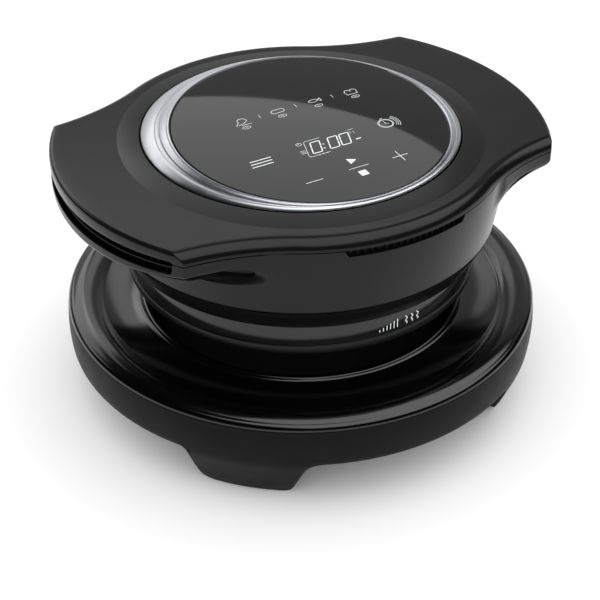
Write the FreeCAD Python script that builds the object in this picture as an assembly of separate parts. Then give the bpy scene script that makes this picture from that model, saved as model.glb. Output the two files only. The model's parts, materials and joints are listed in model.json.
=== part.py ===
"""Hot-air crisping lid with a touch panel, parked on its round four-footed stand.

Millimetres, +Z up. The origin is on the lid's axis at the floor; -Y is the front and the wings are on X.
"""

import FreeCAD, Part
import math
import os

V = FreeCAD.Vector
UP = V(0, 0, 1)
ORIGIN = V(0, 0, 0)

# ---- Driving dimensions: stand
STAND_R = 164.5
SKIRT_TOP_Z = 61.9
SKIRT_EDGE_Z = 34.5
SKIRT_WALL = 3.0
SKIRT_INNER_R = 134.0
FLANGE_Z = 59.0
FOOT_Z = 1.2
FOOT_BOTTOM_R = 150.4
FOOT_ANGLES = (-48, 48, 132, 228)
PAD_TOP_Z = 3.0
RIM_R = 163.0
CREST_R = 150.0
CREST_Z = 68.6
DISH_FLOOR_Z = 62.0
WELL_R = 108.6
LEDGE_R = 101.4
LEDGE_Z = 48.0
WELL_FLOOR_Z = 24.0
DISH_T = 3.0
STAND_SCREW_R = 148.0

# ---- Driving dimensions: lid shells
BODY_R = 136.0
WING_R = 165.0
BLEND_R = 260.0
BLEND_ANGLE = 59.0
CORNER_R = 5.0
SEAM_Z = 173.0
COVER_TOP_Z = 184.4
COVER_EDGE_R = 4.0
COVER_T = 2.6
COLLAR_R = 121.0
COLLAR_TOP_Z = 186.9
COVER_HOLE_R = 88.0
SHELL_BASE_R = 131.0
SHELL_BASE_Z = 129.1
SHELL_WALL = 2.5
LIP_UNDER_Z = 158.0
SLOT_Z = (166.0, 175.5)
SLOT_HALF_ANGLE = 29.6
FRONT_SLOT_Z = (168.6, 172.6)
FRONT_SLOT_ANGLES = (-109.0, -72.0)
HOUSING_FLOOR_Z = (113.7, 116.5)
HOUSING_HOLE_R = 46.0
BEVEL_R = 123.5
BAND_R = 119.0
BAND_Z = (96.6, 113.4)
LIP_R = 119.8
LIP_Z = (90.0, 96.4)
LIP_BORE_R = 108.2
SPIGOT_R = 107.5
SPIGOT_WALL = 3.0
SPIGOT_Z = (51.5, 113.4)

# ---- Driving dimensions: glass and chrome ring
RING_R = 105.5
GLASS_CENTRE = V(0, -12, 194.6)
GLASS_TILT = 3.05
GLASS_R = 90.4
GLASS_T = 4.0
GASKET_T = 1.2

# ---- Driving dimensions: motor, fans, heat end
SHAFT_R = 4.0
RUNNING_CLEARANCE = 0.05
SHAFT_Z = (60.0, 169.0)
BEARING_R = 11.0
BEARING_W = 7.0
LOWER_BEARING_Z = 110.2
UPPER_BEARING_Z = 145.8
CAN_R = 34.0
CAN_Z = (119.0, 153.0)
HOT_FAN_R = 58.0
HOT_FAN_Z = (70.0, 84.2)
HOT_FAN_BLADES = 9
COOL_FAN_R = 42.0
COOL_FAN_Z = (156.0, 168.0)
COOL_FAN_BLADES = 11
DOME_R = 103.9
DOME_Z = (53.7, 93.5)
ELEMENT_R = (82.0, 68.0)
ELEMENT_TUBE_R = 3.25
ELEMENT_Z = 66.0
ELEMENT_GAP_ANGLE = 24.0
GUARD_Z = 55.2
GUARD_RINGS = (101.2, 82.0, 63.0, 44.0, 25.0)

# ---- Driving dimensions: interlock and cord gland
PLUNGER_R = 114.6
PLUNGER_TIP_Z = 86.4
GLAND_Z = 142.0
GLAND_BORE_R = 3.6


def polar(radius, degrees, z=0.0):
    angle = math.radians(degrees)
    return V(radius * math.cos(angle), radius * math.sin(angle), z)


def cylinder(radius, z0, z1, centre=ORIGIN):
    return Part.makeCylinder(radius, z1 - z0, V(centre.x, centre.y, z0), UP)


def tube(r_in, r_out, z0, z1, centre=ORIGIN):
    return cylinder(r_out, z0, z1, centre).cut(cylinder(r_in, z0, z1, centre))


def box(x0, x1, y0, y1, z0, z1):
    return Part.makeBox(x1 - x0, y1 - y0, z1 - z0, V(x0, y0, z0))


def turned(shape, degrees):
    copy = shape.copy()
    copy.rotate(ORIGIN, UP, degrees)
    return copy


def profile_face(steps, plane):
    """A face from (a, b) points; a step of two points is an arc through the first to the second."""
    edges = []
    here = steps[0]
    for step in steps[1:] + [steps[0]]:
        if isinstance(step[0], tuple):
            edges.append(Part.Arc(plane(*here), plane(*step[0]), plane(*step[1])).toShape())
            here = step[1]
        else:
            edges.append(Part.LineSegment(plane(*here), plane(*step)).toShape())
            here = step
    return Part.Face(Part.Wire(edges))


def revolved(steps, degrees=360):
    face = profile_face(steps, lambda r, z: V(r, 0, z))
    return face.revolve(ORIGIN, UP, degrees)


def sector(r_in, r_out, z0, z1, start, end):
    steps = [(r_in, z0), (r_out, z0), (r_out, z1), (r_in, z1)]
    return turned(revolved(steps, end - start), start)


def fused(shapes):
    whole = shapes[0]
    for shape in shapes[1:]:
        whole = whole.fuse(shape)
    return whole.removeSplitter()


# ---- Plan outline of the lid: a circle with two concentric wings and hollow blends between them


def plan_wire(inset, z):
    body = BODY_R - inset
    blend = BLEND_R + inset
    wing = WING_R - inset
    reach = BODY_R + BLEND_R
    along = (wing**2 - blend**2 + reach**2) / (2 * reach)
    across = math.sqrt(wing**2 - along**2)

    def corner_points(sx, sy):
        angle = math.radians(BLEND_ANGLE)
        ux, uy = math.cos(angle), math.sin(angle)
        tangent = (body * ux, body * uy)
        corner = (along * ux + across * uy, along * uy - across * ux)
        cx, cy = reach * ux, reach * uy
        a0 = math.atan2(tangent[1] - cy, tangent[0] - cx)
        a1 = math.atan2(corner[1] - cy, corner[0] - cx)
        if a1 < a0:
            a1 += 2 * math.pi
        middle_angle = (a0 + a1) / 2
        middle = (cx + blend * math.cos(middle_angle), cy + blend * math.sin(middle_angle))
        return [V(sx * x, sy * y, z) for x, y in (tangent, middle, corner)]

    def arc(a, b, c):
        return Part.Arc(a, b, c).toShape()

    right_back = corner_points(1, 1)
    left_back = corner_points(-1, 1)
    left_front = corner_points(-1, -1)
    right_front = corner_points(1, -1)
    edges = [
        arc(left_front[0], V(0, -body, z), right_front[0]),
        arc(*right_front),
        arc(right_front[2], V(wing, 0, z), right_back[2]),
        arc(*reversed(right_back)),
        arc(right_back[0], V(0, body, z), left_back[0]),
        arc(*left_back),
        arc(left_back[2], V(-wing, 0, z), left_front[2]),
        arc(*reversed(left_front)),
    ]
    return Part.Wire(edges)


def plan_slab(inset, z0, z1, corner_radius=CORNER_R):
    slab = Part.Face(plan_wire(inset, z0)).extrude(V(0, 0, z1 - z0))
    corners = []
    for edge in slab.Edges:
        a, b = edge.Vertexes[0].Point, edge.Vertexes[-1].Point
        if abs(a.z - b.z) > 1 and math.hypot(a.x, a.y) > (BODY_R + WING_R) / 2:
            corners.append(edge)
    return slab.makeFillet(corner_radius, corners)


def wing_slots(r_in, r_out, z0, z1):
    half = SLOT_HALF_ANGLE
    right = sector(r_in, r_out, z0, z1, -half, half)
    return [right, turned(right, 180)]


# ---- Stand


def foot_side_profile(offset):
    """Half outline of a foot seen from outside: flat sole, rounded heel, S-shaped shoulder."""
    side = [
        ((25.2 - offset, 2.8 + offset), (27.5 - offset, 6.5 + offset / 2)),
        (33.0 - offset, 21.0 + offset / 2),
        ((37.5 - offset, 29.5 + offset), (46.0, 34.0 + offset)),
        (58.0, 36.4 + offset),
    ]
    return (21.0, FOOT_Z + offset), side


def foot_block(offset, r_in, r_out, top_z):
    """The foot's outline pushed out along the radius, from r_in to r_out."""
    first, side = foot_side_profile(offset)
    right = [first] + side + [(58.0, top_z)]
    half = profile_face(right + [(0.0, top_z), (0.0, first[1])], lambda t, z: V(r_in, t, z))
    block = half.extrude(V(r_out - r_in, 0, 0))
    return block.fuse(block.mirror(ORIGIN, V(0, 1, 0))).removeSplitter()


def stand_skirt():
    outer = [
        (SKIRT_INNER_R, FOOT_Z),
        (FOOT_BOTTOM_R, FOOT_Z),
        (STAND_R - 1.6, SKIRT_EDGE_Z - 1.5),
        ((STAND_R - 0.1, 47.0), (STAND_R - 1.2, SKIRT_TOP_Z)),
        (RIM_R - 3.0, SKIRT_TOP_Z),
        (RIM_R - 3.0, FLANGE_Z),
        (SKIRT_INNER_R, FLANGE_Z),
    ]
    skirt = revolved(outer)
    gaps = tube(100, 180, -1, SKIRT_EDGE_Z)
    for angle in FOOT_ANGLES:
        gaps = gaps.cut(turned(foot_block(0, 95, 190, 50), angle))
    skirt = skirt.cut(gaps)
    channel_top = FLANGE_Z - SKIRT_WALL
    inside_r = SKIRT_INNER_R + SKIRT_WALL
    hollow = revolved(
        [
            (inside_r, FOOT_Z + SKIRT_WALL),
            (FOOT_BOTTOM_R - SKIRT_WALL, FOOT_Z + SKIRT_WALL),
            (STAND_R - 1.6 - SKIRT_WALL, SKIRT_EDGE_Z - 1.5),
            ((STAND_R - 0.1 - SKIRT_WALL, 47.0), (STAND_R - 1.2 - SKIRT_WALL, channel_top)),
            (inside_r, channel_top),
        ]
    )
    skirt = skirt.cut(hollow.common(tube(100, 180, SKIRT_EDGE_Z - 0.5, 60)))
    for angle in FOOT_ANGLES:
        pocket = hollow.common(turned(foot_block(SKIRT_WALL, 100, 180, 50), angle))
        skirt = skirt.cut(pocket)
        skirt = skirt.cut(foot_pad(angle, 0.2))
    for hole in stand_screw_places():
        skirt = skirt.cut(cylinder(1.7, channel_top - 1, FLANGE_Z + 1, hole))
    return skirt


def foot_pad(angle, gap=0.0):
    return sector(138.5 - gap, 147.0 + gap, 0, PAD_TOP_Z, angle - 7 - gap / 2, angle + 7 + gap / 2)


def stand_screw_places():
    return [polar(STAND_SCREW_R, 22.5 + 45 * i) for i in range(8)]


def stand_dish():
    steps = [
        (0.0, WELL_FLOOR_Z),
        (LEDGE_R - 4, WELL_FLOOR_Z),
        ((LEDGE_R - 1.2, WELL_FLOOR_Z + 1.2), (LEDGE_R, WELL_FLOOR_Z + 4)),
        (LEDGE_R, LEDGE_Z),
        (WELL_R, LEDGE_Z),
        (WELL_R, 64.4),
        ((111.0, 65.6), (113.6, 63.2)),
        ((126.0, DISH_FLOOR_Z), (139.0, 64.2)),
        ((CREST_R, CREST_Z), (159.6, 66.4)),
        ((162.6, 64.6), (RIM_R, SKIRT_TOP_Z + 0.6)),
        (158.8, SKIRT_TOP_Z + 0.6),
        (158.8, FLANGE_Z),
        (156.2, FLANGE_Z),
        (156.2, 63.8),
        ((150.0, 65.4), (141.0, 61.6)),
        ((128.0, FLANGE_Z + 0.2), (113.0, 60.2)),
        (WELL_R + DISH_T, 59.0),
        (WELL_R + DISH_T, LEDGE_Z - DISH_T),
        (LEDGE_R + DISH_T, LEDGE_Z - DISH_T),
        (LEDGE_R + DISH_T, WELL_FLOOR_Z + 3),
        ((LEDGE_R + 1.0, WELL_FLOOR_Z - 2), (LEDGE_R - 3, WELL_FLOOR_Z - DISH_T)),
        (0.0, WELL_FLOOR_Z - DISH_T),
    ]
    dish = revolved(steps)
    for place in stand_screw_places():
        dish = dish.fuse(cylinder(4.0, FLANGE_Z, 65.0, place))
    for place in stand_screw_places():
        dish = dish.cut(cylinder(1.55, FLANGE_Z - 1, 64.4, place))
    return dish


def stand_screws():
    top = FLANGE_Z - SKIRT_WALL
    return [
        cylinder(3.0, top - 2.4, top, place).fuse(cylinder(1.5, top, 64.0, place))
        for place in stand_screw_places()
    ]


def rest_pads():
    return [sector(102.2, 107.8, LEDGE_Z, SPIGOT_Z[0] - 0.3, a - 8, a + 8) for a in (45, 135, 225, 315)]


# ---- Lid: shells


def tilted(shape, depth=0.0):
    """Move a shape modelled about +Z into the glass's place, its z=0 at the glass's top face less depth."""
    copy = shape.copy()
    copy.translate(V(0, 0, -depth))
    copy.rotate(ORIGIN, V(1, 0, 0), GLASS_TILT)
    copy.translate(GLASS_CENTRE)
    return copy


def tilted_circle(radius, depth):
    return tilted(Part.Wire(Part.makeCircle(radius, ORIGIN, UP)), depth)


def glass_recess(radius, depth):
    return tilted(cylinder(radius, -30, 30), depth - 30)


def top_cover():
    outer = plan_slab(0, SEAM_Z + 0.15, COVER_TOP_Z)
    rim = [e for e in outer.Edges if e.BoundBox.ZMin > COVER_TOP_Z - 0.01]
    outer = outer.makeFillet(COVER_EDGE_R, rim)
    collar = revolved(
        [(COVER_HOLE_R, 182), (COLLAR_R + 1, 182), (COLLAR_R, COVER_TOP_Z - 0.1),
         (RING_R + 1, COLLAR_TOP_Z), (COVER_HOLE_R, COLLAR_TOP_Z)]
    )
    cover = outer.fuse(collar)
    cover = cover.cut(plan_slab(COVER_T, SEAM_Z - 1, COVER_TOP_Z - COVER_T, CORNER_R - 1))
    cover = cover.cut(cylinder(COVER_HOLE_R, 170, 190))
    cover = cover.cut(glass_recess(GLASS_R + 0.8, GLASS_T + GASKET_T + 0.2))
    for place in housing_screw_places():
        cover = cover.fuse(tube(1.7, 4.5, 160.3, COVER_TOP_Z - COVER_T + 0.5, place))
    for slot in wing_slots(160.0, 172.0, SLOT_Z[0], SLOT_Z[1]):
        cover = cover.cut(slot)
    return cover.removeSplitter()


def flare_steps(inset):
    """Side shell in section: a slightly barrelled wall that flares out into the underside of the wings."""
    base, lip = SHELL_BASE_R - inset, WING_R - inset
    return [
        (0.0, SHELL_BASE_Z),
        (base, SHELL_BASE_Z),
        ((base + 2.3, 141.0), (base + 4.4, 151.0 + inset)),
        ((base + 12.0, 155.8 + inset), (lip - 5.0, LIP_UNDER_Z + inset)),
        ((lip - 1.3, LIP_UNDER_Z + 1.4 + inset), (lip, LIP_UNDER_Z + 5.0 + inset)),
        (lip, SEAM_Z),
        (0.0, SEAM_Z),
    ]


def body_shell():
    outer = revolved(flare_steps(0)).common(plan_slab(0, SHELL_BASE_Z - 1, SEAM_Z + 1))
    inner = revolved(flare_steps(SHELL_WALL)).common(
        plan_slab(SHELL_WALL, SHELL_BASE_Z - 1, SEAM_Z + 1, CORNER_R - 1)
    )
    shell = outer.cut(inner)
    for slot in wing_slots(160.0, 172.0, SLOT_Z[0], SLOT_Z[1]):
        shell = shell.cut(slot)
    shell = shell.cut(sector(125, 140, *FRONT_SLOT_Z, *FRONT_SLOT_ANGLES))
    for pocket in leaf_outlets(0.0):
        shell = shell.cut(pocket)
    gland_hole = Part.makeCylinder(7.8, 30, V(0, 120, GLAND_Z), V(0, 1, 0))
    return shell.cut(gland_hole)


def leaf_outlets(inset):
    """Leaf-shaped outlet below each wing's corner, drawn along X and cut through along Y."""
    tail, nose = -132.0, -89.0
    steps = [
        (tail + inset, 163.0),
        ((-112.0, 164.6 - inset), (nose - 3.0 - inset, 163.6 - inset)),
        ((nose - inset, 160.6), (nose - 3.4 - inset, 157.9 + inset)),
        ((-104.0, 158.0 + inset), (-116.0, 161.0 + inset / 2)),
    ]
    leaf = profile_face(steps, lambda x, z: V(x, -115, z)).extrude(V(0, 30, 0))
    mirrored_x = leaf.mirror(ORIGIN, V(1, 0, 0))
    return [leaf, mirrored_x, turned(leaf, 180), turned(mirrored_x, 180)]


def recess_inserts():
    """Dark inserts that stand behind the leaf-shaped outlets, inside the shell."""
    ring = revolved(flare_steps(SHELL_WALL + 0.3)).common(plan_slab(SHELL_WALL + 0.3, 155, 168, 3))
    core = revolved(flare_steps(SHELL_WALL + 1.8)).common(plan_slab(SHELL_WALL + 1.8, 154, 169, 2))
    skin = ring.cut(core)
    inserts = []
    for sx in (-1, 1):
        for sy in (-1, 1):
            window = box(88, 125, 70, 125, 155.5, 166.5)
            window.translate(V(-1.5, 0, 0))
            if sx < 0:
                window = window.mirror(ORIGIN, V(1, 0, 0))
            if sy < 0:
                window = window.mirror(ORIGIN, V(0, 1, 0))
            inserts.append(skin.common(window))
    return inserts


def lower_housing():
    floor_z, top_z = HOUSING_FLOOR_Z
    seam = SHELL_BASE_Z - 0.3
    steps = [
        (HOUSING_HOLE_R, floor_z),
        (BEVEL_R, floor_z),
        (SHELL_BASE_R, seam),
        (SHELL_BASE_R - 2.8, seam),
        (SHELL_BASE_R - 2.8, seam + 3),
        (SHELL_BASE_R - 4.8, seam + 3),
        (SHELL_BASE_R - 4.8, seam - 1),
        (BEVEL_R - 2, top_z),
        (HOUSING_HOLE_R, top_z),
    ]
    housing = revolved(steps)
    for place in housing_screw_places():
        housing = housing.fuse(cylinder(5.0, top_z - 1, 160.0, place))
    for place in board_screw_places():
        housing = housing.fuse(cylinder(3.5, top_z - 1, 124.0, place))
    for place in housing_screw_places():
        housing = housing.cut(cylinder(2.2, floor_z - 1, 161.0, place))
        housing = housing.cut(cylinder(3.7, floor_z - 1, floor_z + 4.0, place))
    for place in board_screw_places():
        housing = housing.cut(cylinder(1.2, 117.5, 125, place))
    for place in motor_screw_places():
        housing = housing.cut(cylinder(1.6, floor_z - 1, top_z + 1, place))
    for place in lip_screw_places():
        housing = housing.cut(cylinder(1.4, floor_z - 1, top_z + 1, place))
    for centre in element_leg_places():
        housing = housing.cut(cylinder(7.5, floor_z - 1, top_z + 1, centre))
    return housing.cut(cylinder(1.8, floor_z - 1, top_z + 1, V(0, PLUNGER_R, 0)))


def gloss_band():
    return tube(BAND_R - 2.0, BAND_R, *BAND_Z)


def lip_ring():
    z0, z1 = LIP_Z
    steps = [
        (LIP_BORE_R, z0),
        (LIP_R - 1.6, z0),
        ((LIP_R - 0.5, z0 + 0.5), (LIP_R, z0 + 1.6)),
        (LIP_R, z1 - 0.8),
        ((LIP_R - 0.2, z1 - 0.2), (LIP_R - 0.8, z1)),
        (LIP_R - 2.8, z1),
        (LIP_R - 2.8, z0 + 2.5),
        (LIP_BORE_R, z0 + 2.5),
    ]
    ring = revolved(steps)
    for place in lip_screw_places():
        ring = ring.fuse(cylinder(2.3, z0 + 1.5, BAND_Z[1], place))
        ring = ring.cut(cylinder(1.3, z0 + 6, BAND_Z[1] + 1, place))
    return ring.cut(cylinder(1.8, z0 - 1, z0 + 4, V(0, PLUNGER_R, 0)))


def spigot_skirt():
    z0, z1 = SPIGOT_Z
    inner = SPIGOT_R - SPIGOT_WALL
    steps = [
        (inner - 2.7, z0),
        (SPIGOT_R - 1.5, z0),
        ((SPIGOT_R - 0.4, z0 + 0.4), (SPIGOT_R, z0 + 1.5)),
        (SPIGOT_R, z1 - 3.0),
        (SPIGOT_R + 4.0, z1 - 3.0),
        (SPIGOT_R + 4.0, z1),
        (inner, z1),
        (inner, z0 + 2.0),
        (inner - 2.7, z0 + 2.0),
    ]
    return revolved(steps)


def pot_seal():
    z1 = LIP_Z[0]
    steps = [
        (SPIGOT_R + 0.1, z1 - 3.4),
        (SPIGOT_R + 1.6, z1 - 3.4),
        ((SPIGOT_R + 3.4, z1 - 2.6), (SPIGOT_R + 4.3, z1)),
        (SPIGOT_R + 0.1, z1),
    ]
    return revolved(steps)


def housing_screw_places():
    return [polar(120.0, 45 + 90 * i) for i in range(4)]


def lip_screw_places():
    return [polar(114.2, 60 * i) for i in range(6)]


def motor_screw_places():
    return [polar(52.0, 45 + 90 * i) for i in range(4)]


def board_screw_places():
    return [V(x, y, 0) for x in (-50, 50) for y in (67, 103)]


def cross_screws(places, head_r, shank_r, head_z, tip_z):
    """Screws with a drive recess; head_z is (tip side, outer side) of the head."""
    inner, outer = head_z
    screws = []
    for place in places:
        head = cylinder(head_r, min(head_z), max(head_z), place)
        shank = cylinder(shank_r, min(inner, tip_z), max(inner, tip_z), place)
        depth = (outer - inner) * 0.6
        low, high = sorted((outer, outer - depth))
        drive = box(-head_r * 0.6, head_r * 0.6, -0.4, 0.4, low, high)
        drive = drive.fuse(box(-0.4, 0.4, -head_r * 0.6, head_r * 0.6, low, high))
        drive.translate(place)
        screws.append(head.fuse(shank).cut(drive))
    return screws


# ---- Lid: glass and chrome ring


def ring_frustum(radius, z, rim_radius, rim_depth):
    base = Part.Wire(Part.makeCircle(radius, V(0, 0, z), UP))
    return Part.makeLoft([base, tilted_circle(rim_radius, rim_depth)], True, True)


def chrome_ring():
    ring = ring_frustum(RING_R, COLLAR_TOP_Z, GLASS_R + 1.8, -0.6)
    ring = ring.cut(glass_recess(GLASS_R + 0.5, 60))
    return ring.cut(ring_frustum(RING_R - 2.0, COLLAR_TOP_Z - 1, GLASS_R + 0.9, 1.6))


def glass_frame():
    frame = ring_frustum(RING_R - 4.4, COLLAR_TOP_Z, GLASS_R + 0.6, 2.4)
    frame = frame.cut(glass_recess(GLASS_R - 6.4, 60))
    frame = frame.cut(glass_recess(GLASS_R + 0.5, GLASS_T + GASKET_T))
    return frame.common(box(-120, 120, -30, 120, 180, 210))


def touch_glass():
    disc = tilted(cylinder(GLASS_R, -GLASS_T, 0))
    rim = [e for e in disc.Edges if e.Closed and e.BoundBox.ZMin > 188.9]
    return disc.makeChamfer(0.4, rim[:1])


def glass_gasket():
    return tilted(tube(GLASS_R - 5.4, GLASS_R, -GLASS_T - GASKET_T, -GLASS_T))


def legend_film():
    return tilted(cylinder(84.5, -GLASS_T - 0.3, -GLASS_T - 0.05))


def touch_board():
    return tilted(cylinder(74.0, -6.2, -4.6))


def display_module():
    return tilted(box(-22, 22, -38, -16, -12.2, -6.2))


def board_carrier():
    plate = tilted(cylinder(74.0, -15.2, -13.2))
    for angle in (30, 150, 210, 330):
        plate = plate.fuse(tilted(cylinder(3.0, -13.2, -6.2, polar(66, angle))))
    return plate


# ---- Lid: vents, gland, interlock


def wing_vent_grilles():
    half = SLOT_HALF_ANGLE + 0.6
    grilles = []
    for shape in (0, 180):
        back = sector(157.6, 159.2, 163.2, 178.0, -half, half)
        rib = sector(159.2, 161.6, 168.4, 169.4, -half, half)
        bars = [sector(159.2, 160.6, 163.6, 177.6, a - 0.25, a + 0.25) for a in range(-28, 29, 4)]
        grilles.append(turned(fused([back, rib] + bars), shape))
    return grilles


def front_vent_grille():
    start, end = FRONT_SLOT_ANGLES
    back = sector(130.0, 131.2, FRONT_SLOT_Z[0] - 1.5, FRONT_SLOT_Z[1] - 0.1, start - 1, end + 1)
    bars = [sector(131.2, 132.4, FRONT_SLOT_Z[0], FRONT_SLOT_Z[1] - 0.1, a, a + 0.5)
            for a in range(int(start) + 2, int(end), 3)]
    return fused([back] + bars)


def cord_gland():
    along = V(0, 1, 0)

    def disc(radius, y0, y1):
        return Part.makeCylinder(radius, y1 - y0, V(0, y0, GLAND_Z), along)

    gland = disc(7.4, 126.5, 139.0).fuse(disc(9.2, 135.6, 138.6)).fuse(disc(9.2, 126.5, 129.5))
    return gland.removeSplitter().cut(disc(GLAND_BORE_R, 120, 145))


def interlock_plunger():
    place = V(0, PLUNGER_R, 0)
    tip = cylinder(1.2, PLUNGER_TIP_Z + 1.0, 116.8, place)
    nose = Part.makeCone(0.7, 1.2, 1.0, V(0, PLUNGER_R, PLUNGER_TIP_Z), UP)
    collar = cylinder(2.0, 93.0, 94.2, place)
    return fused([tip, nose, collar])


def plunger_spring():
    helix = Part.makeHelix(2.4, 16.8, 1.75)
    helix.translate(V(0, PLUNGER_R, 95.0))
    start = V(1.75, PLUNGER_R, 95.0)
    section = Part.Wire(Part.makeCircle(0.3, start, V(0, 1, 0)))
    return Part.Wire(helix.Edges).makePipeShell([section], True, True)


def interlock_switch():
    body = box(-10, 10, 111.4, 117.8, 121.4, 131.4)
    lever = box(-9, 4, 113.4, 115.8, 120.6, 121.0)
    arm = box(-9, -7.6, 113.4, 115.8, 120.8, 121.8)
    return fused([body, lever, arm])


# ---- Lid: electronics on the power board


def power_board():
    board = box(-55, 55, 62, 108, 124.0, 125.6)
    for place in board_screw_places():
        board = board.cut(cylinder(1.6, 123, 127, place))
    return board


def relays():
    return [box(x, x + 19, 84, 99, 125.6, 141.0) for x in (-42, -19)]


def capacitors():
    return [cylinder(r, 125.6, 125.6 + h, V(x, y, 0)) for x, y, r, h in ((12, 92, 7, 20), (-30, 73, 6, 16))]


def transformer():
    core = box(-12, 18, 64.5, 82, 125.6, 145)
    bobbin = box(-15, 21, 67.5, 79, 128, 141)
    return fused([core, bobbin])


def terminal_block():
    block = box(25, 52, 80, 92, 125.6, 137)
    for x in (30, 38.5, 47):
        block = block.cut(cylinder(2.2, 131, 138, V(x, 86, 0)))
    return block


# ---- Lid: motor and fans


def motor_bracket():
    plate = cylinder(58.0, HOUSING_FLOOR_Z[1], HOUSING_FLOOR_Z[1] + 2.0)
    seat = cylinder(BEARING_R + 2.6, LOWER_BEARING_Z - 1.2, HOUSING_FLOOR_Z[1] + 1.0)
    bracket = plate.fuse(seat)
    bracket = bracket.cut(cylinder(BEARING_R + 0.02, LOWER_BEARING_Z, HOUSING_FLOOR_Z[1] + 3.0))
    bracket = bracket.cut(cylinder(7.0, LOWER_BEARING_Z - 3.0, LOWER_BEARING_Z + 1.0))
    for place in motor_screw_places():
        bracket = bracket.cut(cylinder(4.0, 115, 120, place))
    for angle in (0, 90, 180, 270):
        bracket = bracket.cut(turned(sector(39, 56, 115, 120, -24, 24), angle))
    for centre in element_leg_places():
        bracket = bracket.cut(cylinder(7.5, 115, 120, centre))
    return bracket


def motor_grommets():
    z0, z1 = HOUSING_FLOOR_Z[1], HOUSING_FLOOR_Z[1] + 4.0
    return [tube(1.6, 3.9, z0, z1, place).fuse(tube(1.6, 6.0, z0 + 2.1, z1, place)).removeSplitter()
            for place in motor_screw_places()]


def motor_can():
    z0, z1 = CAN_Z
    can = cylinder(CAN_R, z0, z1).cut(cylinder(CAN_R - 1.5, z0 - 1, z1 - 1.5))
    can = can.fuse(tube(BEARING_R + 0.02, BEARING_R + 2.5, UPPER_BEARING_Z - 0.3, z1))
    can = can.cut(cylinder(BEARING_R + 0.02, UPPER_BEARING_Z - 1, z1 + 1))
    for angle in range(0, 360, 60):
        can = can.cut(turned(sector(24, 30, z1 - 3, z1 + 1, -18, 18), angle))
    return can


def stator_core():
    core = tube(21.0, CAN_R - 1.55, 125.0, 141.0)
    for angle in range(0, 360, 60):
        core = core.cut(turned(sector(23.5, 28.5, 124, 142, 8, 52), angle))
    return core


def stator_coils():
    coils = []
    for angle in range(0, 360, 60):
        outer = sector(23.7, 28.3, 120.5, 144.5, -20, 20)
        window = sector(22.0, 30.0, 124.8, 141.2, -9, 9)
        coils.append(turned(outer.cut(window), angle))
    return coils


def bearing(z0):
    """Deep-groove bearing: two rings and eight balls that touch both, as one solid."""
    z1 = z0 + BEARING_W
    bore = SHAFT_R + RUNNING_CLEARANCE
    inner = tube(bore, 5.8, z0, z1)
    outer = tube(9.2, BEARING_R, z0, z1)
    balls = [Part.makeSphere(1.85, polar(7.5, 45 * i, (z0 + z1) / 2)) for i in range(8)]
    return fused([inner, outer] + balls)


def drive_shaft():
    z0, z1 = SHAFT_Z
    shaft = cylinder(SHAFT_R, z0, z1)
    return shaft.makeChamfer(0.6, [e for e in shaft.Edges if e.Closed])


def rotor_core():
    core = tube(SHAFT_R + 0.01, 20.4, 124.0, 142.0)
    slots = [turned(sector(17.5, 19.3, 123, 143, -2.5, 2.5), 30 * i) for i in range(12)]
    for slot in slots:
        core = core.cut(slot)
    return core


def radial_blades(count, r_in, r_out, z0, z1, sweep, thickness):
    """Flat blades, leaning back by the sweep angle from the radius."""
    blades = []
    for i in range(count):
        blade = box(0, r_out - r_in, -thickness / 2, thickness / 2, z0, z1)
        blade.rotate(ORIGIN, UP, sweep)
        blade.translate(V(r_in, 0, 0))
        blades.append(turned(blade, 360.0 * i / count))
    return blades


def hot_air_fan():
    z0, z1 = HOT_FAN_Z
    plate = tube(SHAFT_R + 0.01, HOT_FAN_R, z1 - 1.2, z1)
    hub = tube(SHAFT_R + 0.01, 10.0, z0, z1)
    blades = radial_blades(HOT_FAN_BLADES, 16.0, HOT_FAN_R - 3, z0 + 1, z1 - 1.0, 22.0, 1.2)
    return fused([plate, hub] + blades)


def cooling_fan():
    z0, z1 = COOL_FAN_Z
    plate = tube(SHAFT_R + 0.01, COOL_FAN_R - 2, z0, z0 + 1.5)
    hub = tube(SHAFT_R + 0.01, 8.0, z0, z1)
    blades = radial_blades(COOL_FAN_BLADES, 12.0, COOL_FAN_R - 2, z0 + 1, z1, 16.0, 1.2)
    return fused([plate, hub] + blades)


def fan_nut():
    corners = [polar(5.8, 60 * i, 64.6) for i in range(7)]
    nut = Part.Face(Part.makePolygon(corners)).extrude(V(0, 0, 5.0))
    return nut.cut(cylinder(SHAFT_R + 0.01, 60, 75))


# ---- Lid: heat end


def element_leg_places():
    return [polar(r, ELEMENT_GAP_ANGLE / 2) for r in ELEMENT_R]


def reflector_dome():
    z0, z1 = DOME_Z
    wall = 1.0

    def steps(inset):
        return [
            (0.0, z0),
            (DOME_R - inset, z0),
            (DOME_R - inset, z1 - 8.0),
            ((DOME_R - 2.4 - 0.7 * inset, z1 - 2.4 - 0.7 * inset), (DOME_R - 8.0, z1 - inset)),
            (0.0, z1 - inset),
        ]

    dome = revolved(steps(0)).cut(revolved(steps(wall)))
    dome = dome.cut(cylinder(8.0, z1 - 3, z1 + 3))
    for centre in element_leg_places():
        dome = dome.cut(cylinder(3.6, z1 - 3, z1 + 3, centre))
    return dome.cut(cylinder(2.0, z1 - 3, z1 + 3, V(0, -88, 0)))


def insulation_pad():
    z0, z1 = DOME_Z[1] + 0.5, 104.0
    pad = tube(17.0, 98.0, z0, z1)
    for centre in element_leg_places():
        pad = pad.cut(cylinder(6.5, z0 - 1, z1 + 1, centre))
    pad = pad.cut(cylinder(2.4, z0 - 1, z1 + 1, V(0, -88, 0)))
    pad = pad.cut(cylinder(11.0, z0 - 1, z1 + 1, V(-45, 0, 0)))
    return pad.cut(box(38, 52, -9, 9, z0 - 1, z1 + 1))


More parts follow.
